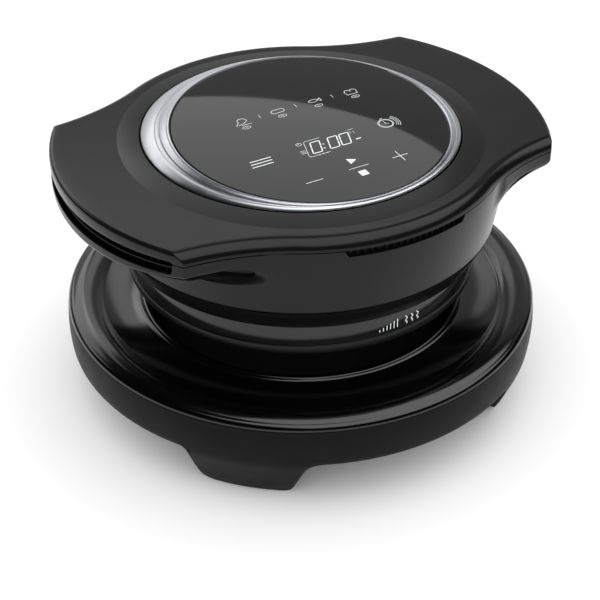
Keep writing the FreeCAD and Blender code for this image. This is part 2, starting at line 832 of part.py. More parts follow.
def heat_shield():
    z0 = 104.3
    shield = cylinder(104.2, z0, z0 + 1.2).fuse(tube(103.0, 104.2, z0, z0 + 4.0))
    shield = shield.cut(cylinder(9.0, z0 - 1, z0 + 5))
    for centre in element_leg_places():
        shield = shield.cut(cylinder(6.2, z0 - 1, z0 + 5, centre))
    return shield.cut(cylinder(2.4, z0 - 1, z0 + 5, V(0, -88, 0)))


def heating_element():
    """Two open turns joined by a U bend, with both ends turned up through the dome."""
    r_out, r_in = ELEMENT_R
    gap = ELEMENT_GAP_ANGLE
    z = ELEMENT_Z

    def turn(radius):
        section = Part.Face(Part.Wire(Part.makeCircle(ELEMENT_TUBE_R, V(radius, 0, z), V(0, 1, 0))))
        return turned(section.revolve(ORIGIN, UP, 360 - gap), gap / 2)

    bend_r = (r_out - r_in) / 2
    bend_centre = polar((r_out + r_in) / 2, -gap / 2, z)
    section = Part.Face(
        Part.Wire(Part.makeCircle(ELEMENT_TUBE_R, polar(r_in, -gap / 2, z), polar(1, 90 - gap / 2)))
    )
    bend = section.revolve(bend_centre, UP, 180)
    pieces = [turn(r_out), turn(r_in), bend]
    for place in element_leg_places():
        joint = V(place.x, place.y, z)
        pieces.append(Part.makeSphere(ELEMENT_TUBE_R, joint))
        pieces.append(cylinder(ELEMENT_TUBE_R, z, 119.0, place))
    return fused(pieces)


def element_clips():
    clips = []
    for angle in (75, 180, 285):
        post = cylinder(1.5, ELEMENT_Z - 5.0, DOME_Z[1] - 1.0, V(75, 0, 0))
        shelf = box(62, 88, -2.5, 2.5, ELEMENT_Z - 5.2, ELEMENT_Z - ELEMENT_TUBE_R - 0.1)
        clips.append(turned(post.fuse(shelf), angle))
    return clips


def element_terminals():
    terminals = []
    for place in element_leg_places():
        terminals.append(tube(3.3, 6.0, 103.0, 112.0, place))
    return terminals


def torus(radius, wire_r, z):
    return Part.makeTorus(radius, wire_r, V(0, 0, z), UP)


def guard_grille():
    rings = [torus(r, 1.4 if r == GUARD_RINGS[0] else 1.1, GUARD_Z) for r in GUARD_RINGS]
    spokes = []
    for i in range(6):
        start = V(GUARD_RINGS[-1], 0, GUARD_Z)
        spoke = Part.makeCylinder(0.9, GUARD_RINGS[0] - GUARD_RINGS[-1], start, V(1, 0, 0))
        spokes.append(turned(spoke, 60 * i + 7))
    return fused(rings + spokes)


def thermostat():
    place = V(-45, 0, 0)
    return fused([cylinder(8.0, 93.6, 99.0, place), cylinder(10.0, 95.4, 96.6, place), cylinder(3.0, 99.0, 101.5, place)])


def thermal_fuse():
    body = Part.makeCylinder(2.2, 12, V(45, -6, 97), V(0, 1, 0))
    leads = Part.makeCylinder(0.5, 16, V(45, -8, 97), V(0, 1, 0))
    return body.fuse(leads)


def temperature_probe():
    rod = cylinder(1.7, 78.0, 108.0, V(0, -88, 0))
    head = cylinder(4.0, 106.0, 110.0, V(0, -88, 0))
    return rod.fuse(head)


# ---- Every node: name, and a function that gives one solid or a list of identical ones

NODES = {
    "stand_skirt": stand_skirt,
    "stand_dish": stand_dish,
    "foot_pads": lambda: [foot_pad(angle) for angle in FOOT_ANGLES],
    "rest_pads": rest_pads,
    "stand_screws": stand_screws,
    "top_cover": top_cover,
    "body_shell": body_shell,
    "lower_housing": lower_housing,
    "gloss_band": gloss_band,
    "lip_ring": lip_ring,
    "spigot_skirt": spigot_skirt,
    "pot_seal": pot_seal,
    "chrome_ring": chrome_ring,
    "glass_frame": glass_frame,
    "touch_glass": touch_glass,
    "glass_gasket": glass_gasket,
    "legend_film": legend_film,
    "touch_board": touch_board,
    "display_module": display_module,
    "board_carrier": board_carrier,
    "wing_vent_grilles": wing_vent_grilles,
    "front_vent_grille": front_vent_grille,
    "recess_inserts": recess_inserts,
    "cord_gland": cord_gland,
    "power_board": power_board,
    "relays": relays,
    "capacitors": capacitors,
    "transformer": transformer,
    "terminal_block": terminal_block,
    "motor_bracket": motor_bracket,
    "motor_grommets": motor_grommets,
    "motor_can": motor_can,
    "stator_core": stator_core,
    "stator_coils": stator_coils,
    "lower_bearing": lambda: bearing(LOWER_BEARING_Z),
    "upper_bearing": lambda: bearing(UPPER_BEARING_Z),
    "drive_shaft": drive_shaft,
    "rotor_core": rotor_core,
    "hot_air_fan": hot_air_fan,
    "fan_nut": fan_nut,
    "cooling_fan": cooling_fan,
    "reflector_dome": reflector_dome,
    "insulation_pad": insulation_pad,
    "heat_shield": heat_shield,
    "heating_element": heating_element,
    "element_clips": element_clips,
    "element_terminals": element_terminals,
    "guard_grille": guard_grille,
    "thermostat": thermostat,
    "thermal_fuse": thermal_fuse,
    "temperature_probe": temperature_probe,
    "interlock_switch": interlock_switch,
    "interlock_plunger": interlock_plunger,
    "plunger_spring": plunger_spring,
    "housing_screws": lambda: cross_screws(housing_screw_places(), 3.5, 1.65, (117.6, 114.6), 178.0),
    "lip_screws": lambda: cross_screws(lip_screw_places(), 2.4, 1.25, (116.5, 118.3), 97.0),
    "motor_screws": lambda: cross_screws(motor_screw_places(), 4.0, 1.5, (120.5, 123.0), 110.0),
    "board_screws": lambda: cross_screws(board_screw_places(), 2.8, 1.15, (125.6, 127.8), 118.0),
}


def main():
    os.makedirs("parts", exist_ok=True)
    for name, make in NODES.items():
        made = make()
        pieces = made if isinstance(made, list) else [made]
        solids = [solid for piece in pieces for solid in piece.Solids]
        shape = solids[0] if len(solids) == 1 else Part.makeCompound(solids)
        bound = shape.BoundBox
        print(f"{name}: {len(solids)} solid(s), valid {shape.isValid()}, volume {shape.Volume / 1000:.1f} cm3, "
              f"z {bound.ZMin:.1f}..{bound.ZMax:.1f}")
        shape.exportStep(f"parts/{name}.step")


main()
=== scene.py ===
"""Looks of the hot-air crisping lid on its stand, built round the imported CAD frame.

Lengths in this file are written in millimetres and multiplied by MM; objects are in metres.
"""

import bpy
import json
import math
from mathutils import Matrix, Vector


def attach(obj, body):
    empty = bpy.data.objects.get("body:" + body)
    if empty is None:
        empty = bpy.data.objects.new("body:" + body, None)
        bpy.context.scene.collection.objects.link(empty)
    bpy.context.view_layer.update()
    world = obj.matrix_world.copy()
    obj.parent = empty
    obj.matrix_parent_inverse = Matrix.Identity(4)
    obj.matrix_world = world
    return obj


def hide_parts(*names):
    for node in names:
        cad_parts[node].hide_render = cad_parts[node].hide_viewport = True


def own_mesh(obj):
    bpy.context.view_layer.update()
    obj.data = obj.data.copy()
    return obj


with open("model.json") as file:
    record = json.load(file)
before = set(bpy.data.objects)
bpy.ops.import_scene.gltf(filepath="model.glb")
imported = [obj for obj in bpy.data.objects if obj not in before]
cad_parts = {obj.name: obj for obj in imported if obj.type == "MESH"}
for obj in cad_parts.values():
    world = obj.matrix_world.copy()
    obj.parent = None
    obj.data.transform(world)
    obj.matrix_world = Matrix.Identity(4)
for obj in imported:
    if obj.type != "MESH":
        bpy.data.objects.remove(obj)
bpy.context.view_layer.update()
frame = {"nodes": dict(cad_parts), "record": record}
NODES = frame["nodes"]

MM = 0.001
TAU = 2 * math.pi

# ---- Glass and chrome ring (mm)
RING_R = 105.5
COLLAR_TOP_Z = 186.9
GLASS_CENTRE = Vector((0, -12, 194.6))
GLASS_TILT = math.radians(3.05)
GLASS_R = 90.4
GLASS_T = 4.0
MARK_START, MARK_PITCH = -38.5, 28.0

# ---- Lid outline in plan, and how the cover's edges round over
BODY_R = 136.0
WING_R = 165.0
BLEND_R = 150.0
BLEND_ANGLE = math.radians(59.0)
CORNER_R = 2.5
SEAM_Z = 176.5
SEAM_GAP = 0.2
COVER_TOP_Z = 184.4
WING_EDGE_R = 3.0
ROLL_R = 9.6
COLLAR_FOOT_R, COLLAR_INNER_R = 122.6, 106.1

# ---- Slots along the wings and the front; wing heights are (middle, end)
SLOT_END = 32.6
SLOT_ROUND = 0.8
SLOT_LOW = (165.5, 169.0)
SLOT_HIGH = (175.8, 178.0)
FRONT_SLOT = (-109.6, -72.6)
FRONT_SLOT_LOW = 172.2

# ---- Side shell: lower edge of its upright wall, leaf-shaped outlets, mesh rows
LIP_LOW, LIP_RISE, LIP_REACH = 157.0, 9.7, 2.6
WING_LIP_LOW, WING_LIP_RISE, WING_CORNER = 158.0, 8.6, 35.6
LEAF_NOSE, LEAF_TIP, LEAF_NOSE_R = 93.4, 134.2, 6.0
LEAF_HIGH, LEAF_SLIT = 6.8, 0.8
LEAF_MIDDLE_Z = (163.3, 168.0)
SHELL_BASE_R = 131.0
SHELL_BASE_Z = 129.1
SHELL_T = 2.3
SHELL_WALL_ROWS = 12
SHELL_UPPER_ROWS = 8
LEAF_ROWS = 10
SHELL_SWEEP_ROWS = 44
SHELL_BASE_ROWS = 14
GLAND_Z = 142.0
GLAND_HOLE_R = 7.6

# ---- Gloss band, plunger spring, stand
BAND_R = 119.0
BAND_MARK_ANGLE = -87.0
BAND_MARK_Z = 98.6
PLUNGER_R = 114.6
SPRING_Z = (95.0, 111.8)
FOOT_ANGLES = [math.radians(a) for a in (-48, 48, 132, 228)]
FOOT_SOLE_Z, SKIRT_EDGE_Z = 1.2, 34.5
FOOT_MIDDLE_R = 157.0
FOOT_REACH = (-46.0, 44.0)


# ---------------------------------------------------------------- camera, floor and light


def add_camera():
    azimuth, elevation = math.radians(-30.5), math.radians(35.35)
    back = Vector((math.sin(azimuth) * math.cos(elevation), -math.cos(azimuth) * math.cos(elevation),
                   math.sin(elevation)))
    right = Vector((math.cos(azimuth), math.sin(azimuth), 0))
    data = bpy.data.cameras.new("camera")
    data.lens = 85.7
    data.sensor_width = 36.0
    data.clip_end = 50
    camera = bpy.data.objects.new("camera", data)
    camera.location = Vector((0, 0, 0.04715)) + back * 1.0224 - right * 0.00052
    camera.rotation_euler = back.to_track_quat("Z", "Y").to_euler()
    bpy.context.collection.objects.link(camera)
    bpy.context.scene.camera = camera


def card(name, place, normal, size, brightness, shape="RECTANGLE"):
    """A softbox that faces along normal; brightness is its radiance, white floor being about 1."""
    data = bpy.data.lights.new(name, "AREA")
    data.shape = shape
    data.size, data.size_y = size
    area = size[0] * size[1] * (math.pi / 4 if shape == "ELLIPSE" else 1)
    data.energy = brightness * area * math.pi
    light = bpy.data.objects.new(name, data)
    light.location = place
    light.rotation_euler = (-Vector(normal)).to_track_quat("Z", "Y").to_euler()
    light.visible_diffuse = False
    bpy.context.collection.objects.link(light)
    return light


def add_studio():
    scene = bpy.context.scene
    scene.view_settings.view_transform = "Standard"
    scene.view_settings.look = "None"
    world = bpy.data.worlds.new("studio")
    scene.world = world
    world.use_nodes = True
    background = world.node_tree.nodes["Background"]
    background.inputs["Color"].default_value = (1, 1, 1, 1)
    background.inputs["Strength"].default_value = 1.35
    world.cycles_visibility.glossy = False

    bpy.ops.mesh.primitive_plane_add(size=14)
    floor = bpy.context.object
    floor.name = "floor"
    material = bpy.data.materials.new("floor_paper")
    material.use_nodes = True
    shader = material.node_tree.nodes["Principled BSDF"]
    shader.inputs["Base Color"].default_value = (0.95, 0.95, 0.95, 1)
    shader.inputs["Roughness"].default_value = 0.9
    shader.inputs["Specular IOR Level"].default_value = 0.1
    floor.data.materials.append(material)

    back = Vector((math.cos(math.radians(60)), math.sin(math.radians(60)), 0))
    card("back_disc", (0.56, 1.49, 1.6), (0, 0, -1), (1.75, 1.75), 1.2, "ELLIPSE")
    card("front_softbox", (0.7, -0.75, 1.6), (0, 0, -1), (3.0, 1.9), 2.6)
    card("backdrop", back * 3.2 + Vector((0, 0, 0.75)), -back, (7.0, 1.5), 0.55)
    card("high_backdrop", back * 3.2 + Vector((0, 0, 2.5)), -back, (7.0, 1.9), 0.4)
    left = Vector((math.cos(math.radians(105)), math.sin(math.radians(105)), 0))
    card("left_softbox", left * 2.0 + Vector((0, 0, 1.3)), -left, (1.9, 1.0), 1.8)


# ---------------------------------------------------------------- mesh tools


def new_mesh(name, verts, faces, smooth=True):
    mesh = bpy.data.meshes.new(name)
    mesh.from_pydata([tuple(c * MM for c in v) for v in verts], [], faces)
    mesh.validate()
    mesh.update()
    piece = bpy.data.objects.new(name, mesh)
    bpy.context.collection.objects.link(piece)
    if smooth:
        mesh.polygons.foreach_set("use_smooth", [True] * len(mesh.polygons))
    return piece


def rounded(points, steps=5):
    """A closed outline of (a, b) or (a, b, radius) points, with each radius turned into a short arc."""
    out = []
    count = len(points)
    for i, point in enumerate(points):
        radius = point[2] if len(point) > 2 else 0
        here = Vector(point[:2])
        if not radius:
            out.append(tuple(here))
            continue
        to_last = Vector(points[i - 1][:2]) - here
        to_next = Vector(points[(i + 1) % count][:2]) - here
        half = to_last.angle(to_next) / 2
        reach = min(radius / math.tan(half), to_last.length * 0.49, to_next.length * 0.49)
        start = here + to_last.normalized() * reach
        end = here + to_next.normalized() * reach
        for k in range(steps + 1):
            t = k / steps
            out.append(tuple(start * (1 - t) ** 2 + here * (2 * t * (1 - t)) + end * t * t))
    return out


def grid_faces(columns, rows, close_columns=True, close_rows=True):
    faces = []
    for i in range(columns if close_columns else columns - 1):
        for j in range(rows if close_rows else rows - 1):
            a = i * rows + j
            b = i * rows + (j + 1) % rows
            c = ((i + 1) % columns) * rows + (j + 1) % rows
            d = ((i + 1) % columns) * rows + j
            faces.append((a, d, c, b))
    return faces


def lathe(name, outline, columns=256):
    """A closed ring of revolution from a closed (r, z) outline, or a solid one where r reaches zero."""
    outline = rounded(outline)
    verts = []
    for i in range(columns):
        angle = TAU * i / columns
        for r, z in outline:
            verts.append((r * math.cos(angle), r * math.sin(angle), z))
    piece = new_mesh(name, verts, grid_faces(columns, len(outline)))
    merge_close(piece)
    return piece


def merge_close(piece, distance=0.00001):
    import bmesh
    work = bmesh.new()
    work.from_mesh(piece.data)
    bmesh.ops.remove_doubles(work, verts=work.verts, dist=distance)
    bmesh.ops.recalc_face_normals(work, faces=work.faces)
    work.to_mesh(piece.data)
    work.free()


def keep_edges_crisp(piece, degrees=38):
    piece.data.polygons.foreach_set("use_smooth", [True] * len(piece.data.polygons))
    piece.data.set_sharp_from_angle(angle=math.radians(degrees))


def mix(a, b, t):
    return a + (b - a) * t


def smoothstep(low, high, x):
    t = min(max((x - low) / (high - low), 0), 1)
    return t * t * (3 - 2 * t)

# ---------------------------------------------------------------- lid outline in plan


def quarter_ring(wing_inset, body_inset, z, spacing=0.75):
    """Outline of one quarter at a height, from the middle of the wing to the middle of the back.

    The wing's arc and the hollow blend with the round body are set in separately, so that their common
    corner wanders as the edges round over. Points are (x, y, z, nx, ny, run); run is 0 on the wing,
    rises from 0 to 1 along the blend and stays 1 on the body. The number of points never changes.
    """
    centre = Vector((math.cos(BLEND_ANGLE), math.sin(BLEND_ANGLE))) * (BODY_R + BLEND_R)
    wing, blend, body = WING_R - wing_inset, BLEND_R + body_inset, BODY_R - body_inset
    near, far = wing - CORNER_R, blend + CORNER_R
    along = (near**2 - far**2 + centre.length_squared) / (2 * centre.length)
    across = math.sqrt(near**2 - along**2)
    axis = centre.normalized()
    corner = axis * along + Vector((axis.y, -axis.x)) * across
    wing_end = math.atan2(corner.y, corner.x)
    to_blend = centre - corner
    points = []

    def add_arc(middle, radius, start, end, sign, run_start, run_end, count):
        for i in range(count):
            t = i / count
            angle = mix(start, end, t)
            out = Vector((math.cos(angle), math.sin(angle)))
            place = middle + out * radius
            points.append((place.x, place.y, z, out.x * sign, out.y * sign, mix(run_start, run_end, t)))

    zero = Vector((0, 0))
    add_arc(zero, wing, 0, wing_end, 1, 0, 0, round(100 / spacing))
    add_arc(corner, CORNER_R, wing_end, math.atan2(to_blend.y, to_blend.x), 1, 0, 0, 6)
    add_arc(centre, blend, math.atan2(-to_blend.y, -to_blend.x) % TAU,
            math.atan2(-centre.y, -centre.x) % TAU, -1, 0, 1, round(66 / spacing))
    add_arc(zero, body, BLEND_ANGLE, math.pi / 2, 1, 1, 1, round(72 / spacing))
    points.append((0.0, body, z, 0.0, 1.0, 1))
    return points


def full_ring(wing_inset=0.0, body_inset=0.0, z=0.0):
    quarter = quarter_ring(wing_inset, body_inset, z)
    left_back = [(-x, y, h, -nx, ny, run) for x, y, h, nx, ny, run in reversed(quarter[1:])]
    half = quarter[:-1] + left_back
    return half + [(-x, -y, h, -nx, -ny, run) for x, y, h, nx, ny, run in half]


def wing_slot_edge(x, y, run, seam, middle_z, end_z):
    """Height of one edge of the long slot in the wing's rim, which meets the seam at rounded ends."""
    off_axis = math.degrees(math.atan2(abs(y), abs(x)))
    if run > 0 or off_axis >= SLOT_END:
        return seam
    edge = mix(middle_z, end_z, (off_axis / SLOT_END) ** 2)
    near_end = max(0, (off_axis - (SLOT_END - SLOT_ROUND)) / SLOT_ROUND)
    return seam + (edge - seam) * math.sqrt(1 - near_end**2)


def roll_inset(z, radius):
    """How far a rounded edge of the cover has come in at a height."""
    below = z - (COVER_TOP_Z - radius)
    return 0.0 if below <= 0 else radius - math.sqrt(max(0.0, radius**2 - min(below, radius) ** 2))


def top_cover_piece():
    base = full_ring()
    lows = [wing_slot_edge(x, y, run, SEAM_Z + SEAM_GAP, *SLOT_HIGH) for x, y, _, _, _, run in base]
    levels = []
    for k in range(15):
        turn = math.pi / 2 * k / 14
        z = COVER_TOP_Z - ROLL_R * (1 - math.sin(turn))
        if z > SEAM_Z + 2.0:
            levels.append(z)
    rings = [full_ring(roll_inset(z, WING_EDGE_R), roll_inset(z, ROLL_R), z) for z in levels]
    collar = rounded([(COLLAR_FOOT_R, COVER_TOP_Z), (121.2, COVER_TOP_Z, 6.0),
                      (COLLAR_INNER_R, COLLAR_TOP_Z, 1.0), (COLLAR_INNER_R, 183.2), (112.0, 181.9),
                      (118.0, 181.7)])
    inner = [(ROLL_R + 1.0, 181.5), (5.4, 180.4), (2.6, 178.9)]
    verts, rows = [], 0
    for i, (x, y, _, nx, ny, _) in enumerate(base):
        low = lows[i]
        column = [(x - nx * 2.6, y - ny * 2.6, low), (x - nx * 0.3, y - ny * 0.3, low),
                  (x - nx * 0.08, y - ny * 0.08, low + 0.09), (x, y, low + 0.3)]
        for ring, z in zip(rings, levels):
            share = (z - SEAM_Z) / (COVER_TOP_Z - SEAM_Z)
            column.append((ring[i][0], ring[i][1], mix(low + 0.3, COVER_TOP_Z, share)))
        edge_x, edge_y = column[-1][:2]
        radius = math.hypot(edge_x, edge_y)
        ux, uy = edge_x / radius, edge_y / radius
        for k in range(1, 5):
            column.append((mix(edge_x, ux * COLLAR_FOOT_R, k / 5), mix(edge_y, uy * COLLAR_FOOT_R, k / 5),
                           COVER_TOP_Z))
        column += [(ux * r, uy * r, z) for r, z in collar]
        column += [(x - nx * d, y - ny * d, max(z, low + 0.1)) for d, z in inner]
        rows = len(column)
        verts += column
    piece = new_mesh("top_cover_skin", verts, grid_faces(len(base), rows))
    merge_close(piece)
    keep_edges_crisp(piece, 50)
    return piece


def body_radius(z):
    rise = z - SHELL_BASE_Z
    return SHELL_BASE_R + 0.1785 * rise - 0.001444 * rise * rise


def height_along(outline, at):
    """Height of an outline of straight runs at a distance along it."""
    for (a, low), (b, high) in zip(outline, outline[1:]):
        if at <= b:
            return mix(low, high, (at - a) / (b - a)) if b > a else high
    return outline[-1][1]


def shell_lip_z(x, y, run):
    """Bottom of the upright wall: low under the middle of the wing, high at its corner."""
    off_axis = math.degrees(math.atan2(abs(y), abs(x)))
    if run <= 0:
        return WING_LIP_LOW + WING_LIP_RISE * min(1.0, off_axis / WING_CORNER) ** 2.4
    return LIP_LOW + LIP_RISE * (1 - math.exp(-(math.hypot(x, y) - BODY_R) / LIP_REACH))


def shell_top_z(x, y, run):
    angle = math.degrees(math.atan2(y, x))
    if run >= 1 and y < 0:
        slant = min(angle - FRONT_SLOT[0], FRONT_SLOT[1] - angle)
        return mix(SEAM_Z - 0.22, FRONT_SLOT_LOW, smoothstep(0, 1.3, slant))
    return wing_slot_edge(x, y, run, SEAM_Z - 0.22, *SLOT_LOW)


def leaf_heights(x):
    """Upper and lower edge of the leaf-shaped outlet: a round nose, a wide part, then a thin slit."""
    near = min(1.0, max(0.0, (x - LEAF_NOSE) / LEAF_NOSE_R))
    nose = math.sqrt(1 - (1 - near) ** 2)
    high = nose * (LEAF_SLIT + LEAF_HIGH * (1 - smoothstep(103, 121, x)))
    middle = mix(*LEAF_MIDDLE_Z, smoothstep(97, 121, x))
    return middle + high / 2, middle - high / 2


def shell_column(x, y, nx, ny, run):
    """Outer skin of the side shell from its top edge down to its base, one point a row."""
    top, lip = shell_top_z(x, y, run), shell_lip_z(x, y, run)
    radius = math.hypot(x, y)
    ux, uy = x / radius, y / radius
    flat = 0.0 if run > 0 else 1 - smoothstep(159, 165, lip)
    foot_z = mix(147.0, 150.0, flat)
    turn_r = 3.6
    points = [(x - nx * 0.3, y - ny * 0.3, top), (x - nx * 0.08, y - ny * 0.08, top - 0.09),
              (x, y, top - 0.3)]
    wall_end = lip + turn_r
    for k in range(1, SHELL_WALL_ROWS + 1):
        points.append((x, y, mix(top - 0.3, wall_end, k / SHELL_WALL_ROWS)))

    begin = Vector((x, y, wall_end))
    end = Vector((ux * body_radius(foot_z), uy * body_radius(foot_z), foot_z))
    inward = Vector((end.x - x, end.y - y, 0))
    drop = wall_end - foot_z
    steep = [begin, begin + Vector((0, 0, -0.34 * drop)) + inward * 0.02,
             end + Vector((0, 0, 0.42 * drop)) - inward * 0.1, end]
    turned = begin + Vector((-nx * turn_r, -ny * turn_r, -turn_r))
    shelf = [turned, turned + inward * 0.5 + Vector((0, 0, -0.8)),
             end + Vector((0, 0, 4.0)) - inward * 0.03, end]

    def bezier(p, t):
        return p[0] * (1 - t)**3 + p[1] * (3 * t * (1 - t)**2) + p[2] * (3 * t * t * (1 - t)) + p[3] * t**3

    def sweep(t):
        if t < 0.25:
            turn = math.pi / 2 * t / 0.25
            hooked = begin + Vector((-nx, -ny, 0)) * turn_r * (1 - math.cos(turn))
            hooked.z -= turn_r * math.sin(turn)
        else:
            hooked = bezier(shelf, (t - 0.25) / 0.75)
        return bezier(steep, t).lerp(hooked, flat)

    fine = [sweep(k / 160) for k in range(161)]

    def find(z):
        for k in range(160):
            if fine[k + 1].z <= z:
                span = fine[k].z - fine[k + 1].z
                return (k + (fine[k].z - z) / max(span, 1e-6)) / 160
        return 1.0

    upper, lower = leaf_heights(abs(x))
    t_upper = find(min(upper, wall_end - 0.05))
    t_lower = max(find(min(lower, wall_end - 0.1)), t_upper + 0.002)
    places = [t_upper * k / SHELL_UPPER_ROWS for k in range(1, SHELL_UPPER_ROWS + 1)]
    places += [mix(t_upper, t_lower, k / LEAF_ROWS) for k in range(1, LEAF_ROWS + 1)]
    places += [mix(t_lower, 1.0, k / SHELL_SWEEP_ROWS) for k in range(1, SHELL_SWEEP_ROWS + 1)]
    points += [tuple(sweep(t)) for t in places]
    for k in range(1, SHELL_BASE_ROWS + 1):
        z = mix(foot_z, SHELL_BASE_Z + 0.35, k / SHELL_BASE_ROWS)
        points.append((ux * body_radius(z), uy * body_radius(z), z))
    roundness = 1 - smoothstep(136.2, 139.5, radius)
    if roundness > 0:
        blended = []
        for px, py, pz in points:
            r = min(body_radius(pz), radius)
            blended.append((mix(px, ux * r, roundness), mix(py, uy * r, roundness), pz))
        points = blended
    base = body_radius(SHELL_BASE_Z)
    points.append((ux * (base - 0.35), uy * (base - 0.35), SHELL_BASE_Z))
    return points


def grid_normals(grid):
    columns, rows = len(grid), len(grid[0])
    normals = []
    for i in range(columns):
        row = []
        for j in range(rows):
            along = Vector(grid[(i + 1) % columns][j]) - Vector(grid[i - 1][j])
            down = Vector(grid[i][min(j + 1, rows - 1)]) - Vector(grid[i][max(j - 1, 0)])
            normal = down.cross(along)
            row.append(normal.normalized() if normal.length > 1e-9 else Vector((0, 0, 1)))
        normals.append(row)
    return normals


def body_shell_pieces():
    """The side shell with its leaf-shaped outlets, and the dark scoops that close the outlets inside."""
    columns = [(x, y, nx, ny, run) for x, y, _, nx, ny, run in full_ring()]
    grid = [shell_column(*column) for column in columns]
    count, rows = len(grid), len(grid[0])
    normals = grid_normals(grid)
    first_leaf = 2 + SHELL_WALL_ROWS + SHELL_UPPER_ROWS
    leaf_rows = range(first_leaf, first_leaf + LEAF_ROWS)

    def opens(i, j):
        x, run = columns[i][0], columns[i][4]
        if run > 0 and LEAF_NOSE - 0.1 < abs(x) < LEAF_TIP:
            return j in leaf_rows
        px, py, pz = grid[i][j]
        return py > 100 and px * px + (pz - GLAND_Z) ** 2 < GLAND_HOLE_R**2

    kept, cut = [], []
    for i in range(count):
        for j in range(rows - 1):
            cell = [(i, j), ((i + 1) % count, j), ((i + 1) % count, j + 1), (i, j + 1)]
            is_open = opens(i, j) and opens((i + 1) % count, j)
            (cut if is_open else kept).append(cell)

    skin = {}
    verts = []

    def vertex(cell, depth):
        key = (cell, depth > 0)
        if key not in skin:
            skin[key] = len(verts)
            here = Vector(grid[cell[0]][cell[1]]) - normals[cell[0]][cell[1]] * depth
            verts.append(tuple(here))
        return skin[key]

    faces = []
    edges = {}
    for cell in kept:
        faces.append([vertex(c, 0) for c in cell])
        faces.append([vertex(c, SHELL_T) for c in reversed(cell)])
        for a, b in zip(cell, cell[1:] + cell[:1]):
            if (b, a) in edges:
                del edges[(b, a)]
            else:
                edges[(a, b)] = True
    for a, b in edges:
        faces.append([vertex(a, 0), vertex(a, SHELL_T), vertex(b, SHELL_T), vertex(b, 0)])
    shell = new_mesh("body_shell_skin", verts, faces)
    merge_close(shell, 0.000002)
    keep_edges_crisp(shell, 46)

    verts, faces, index = [], [], {}
    wanted = {c for cell in cut for c in cell if abs(grid[c[0]][c[1]][0]) > 20}
    grown = {((i + a) % count, j + b) for i, j in wanted for a in range(-3, 4) for b in (-3, 0, 3)}
    for i in range(count):
        for j in range(rows - 1):
            cell = [(i, j), ((i + 1) % count, j), ((i + 1) % count, j + 1), (i, j + 1)]
            if not all(c in grown for c in cell):
                continue
            for side in (0, 1):
                loop = []
                for c in (cell if side == 0 else list(reversed(cell))):
                    key = (c, side)
                    if key not in index:
                        lift = min(1, max(0, (first_leaf + LEAF_ROWS - c[1]) / LEAF_ROWS))
                        depth = 2.5 + 5.5 * lift + 0.8 * side
                        place = Vector(grid[c[0]][c[1]]) - normals[c[0]][c[1]] * depth
                        index[key] = len(verts)
                        verts.append(tuple(place))
                    loop.append(index[key])
                faces.append(loop)
    scoops = new_mesh("outlet_scoops", verts, faces)
    merge_close(scoops, 0.000002)
    return shell, scoops


def band_strip(verts, faces, angles, r_in, r_out, low, high):
    """Adds a curved bar between two radii; low and high give its heights at an angle in degrees."""
    base = len(verts)
    for angle in angles:
        a = math.radians(angle)
        for r, z in ((r_in, low(angle)), (r_out, low(angle)), (r_out, high(angle)), (r_in, high(angle))):
            verts.append((r * math.cos(a), r * math.sin(a), z))
    for i in range(len(angles) - 1):
        for k in range(4):
            n = base + 4 * i
            faces.append((n + k, n + 4 + k, n + 4 + (k + 1) % 4, n + (k + 1) % 4))
    last = base + 4 * (len(angles) - 1)
    faces.append((base, base + 1, base + 2, base + 3))
    faces.append((last + 3, last + 2, last + 1, last))


def wing_vent_piece():
    verts, faces = [], []
    reach = SLOT_END + 0.9
    for turn in (0, 180):
        def slot_low(angle):
            return mix(*SLOT_LOW, ((angle - turn) / SLOT_END) ** 2)

        sweep = [turn + reach * (k / 24 - 1) for k in range(49)]
        band_strip(verts, faces, sweep, 157.2, 158.4, lambda a: slot_low(a) - 1.2, lambda a: 179.2)
        band_strip(verts, faces, sweep, 158.4, 162.0, lambda a: slot_low(a) + 2.9,
                   lambda a: slot_low(a) + 3.7)
        for k in range(-16, 17):
            angles = [turn + 2 * k - 0.16, turn + 2 * k + 0.16]
            band_strip(verts, faces, angles, 158.4, 160.0, lambda a: slot_low(a) - 1.0, lambda a: 179.0)
    piece = new_mesh("wing_vent_bars", verts, faces, smooth=False)
    merge_close(piece, 0.000002)
    return piece


def front_vent_piece():
    verts, faces = [], []
    start, end = FRONT_SLOT
    sweep = [mix(start - 1, end + 1, k / 40) for k in range(41)]
    band_strip(verts, faces, sweep, 130.6, 131.6, lambda a: FRONT_SLOT_LOW - 1.5, lambda a: SEAM_Z + 0.4)
    for k in range(18):
        angle = start + 1.5 + 2.0 * k
        band_strip(verts, faces, [angle, angle + 0.4], 131.6, 133.2, lambda a: FRONT_SLOT_LOW - 0.5,
                   lambda a: SEAM_Z + 0.2)
    piece = new_mesh("front_vent_bars", verts, faces, smooth=False)
    merge_close(piece, 0.000002)
    return piece


# ---------------------------------------------------------------- chrome ring, glass and its legends


def on_glass(u, v, depth=0.0):
    """A point on the tilted glass: u to the right, v to the back, depth below its top face (mm)."""
    return (GLASS_CENTRE.x + u,
            GLASS_CENTRE.y + v * math.cos(GLASS_TILT) + depth * math.sin(GLASS_TILT),
            GLASS_CENTRE.z + v * math.sin(GLASS_TILT) - depth * math.cos(GLASS_TILT))


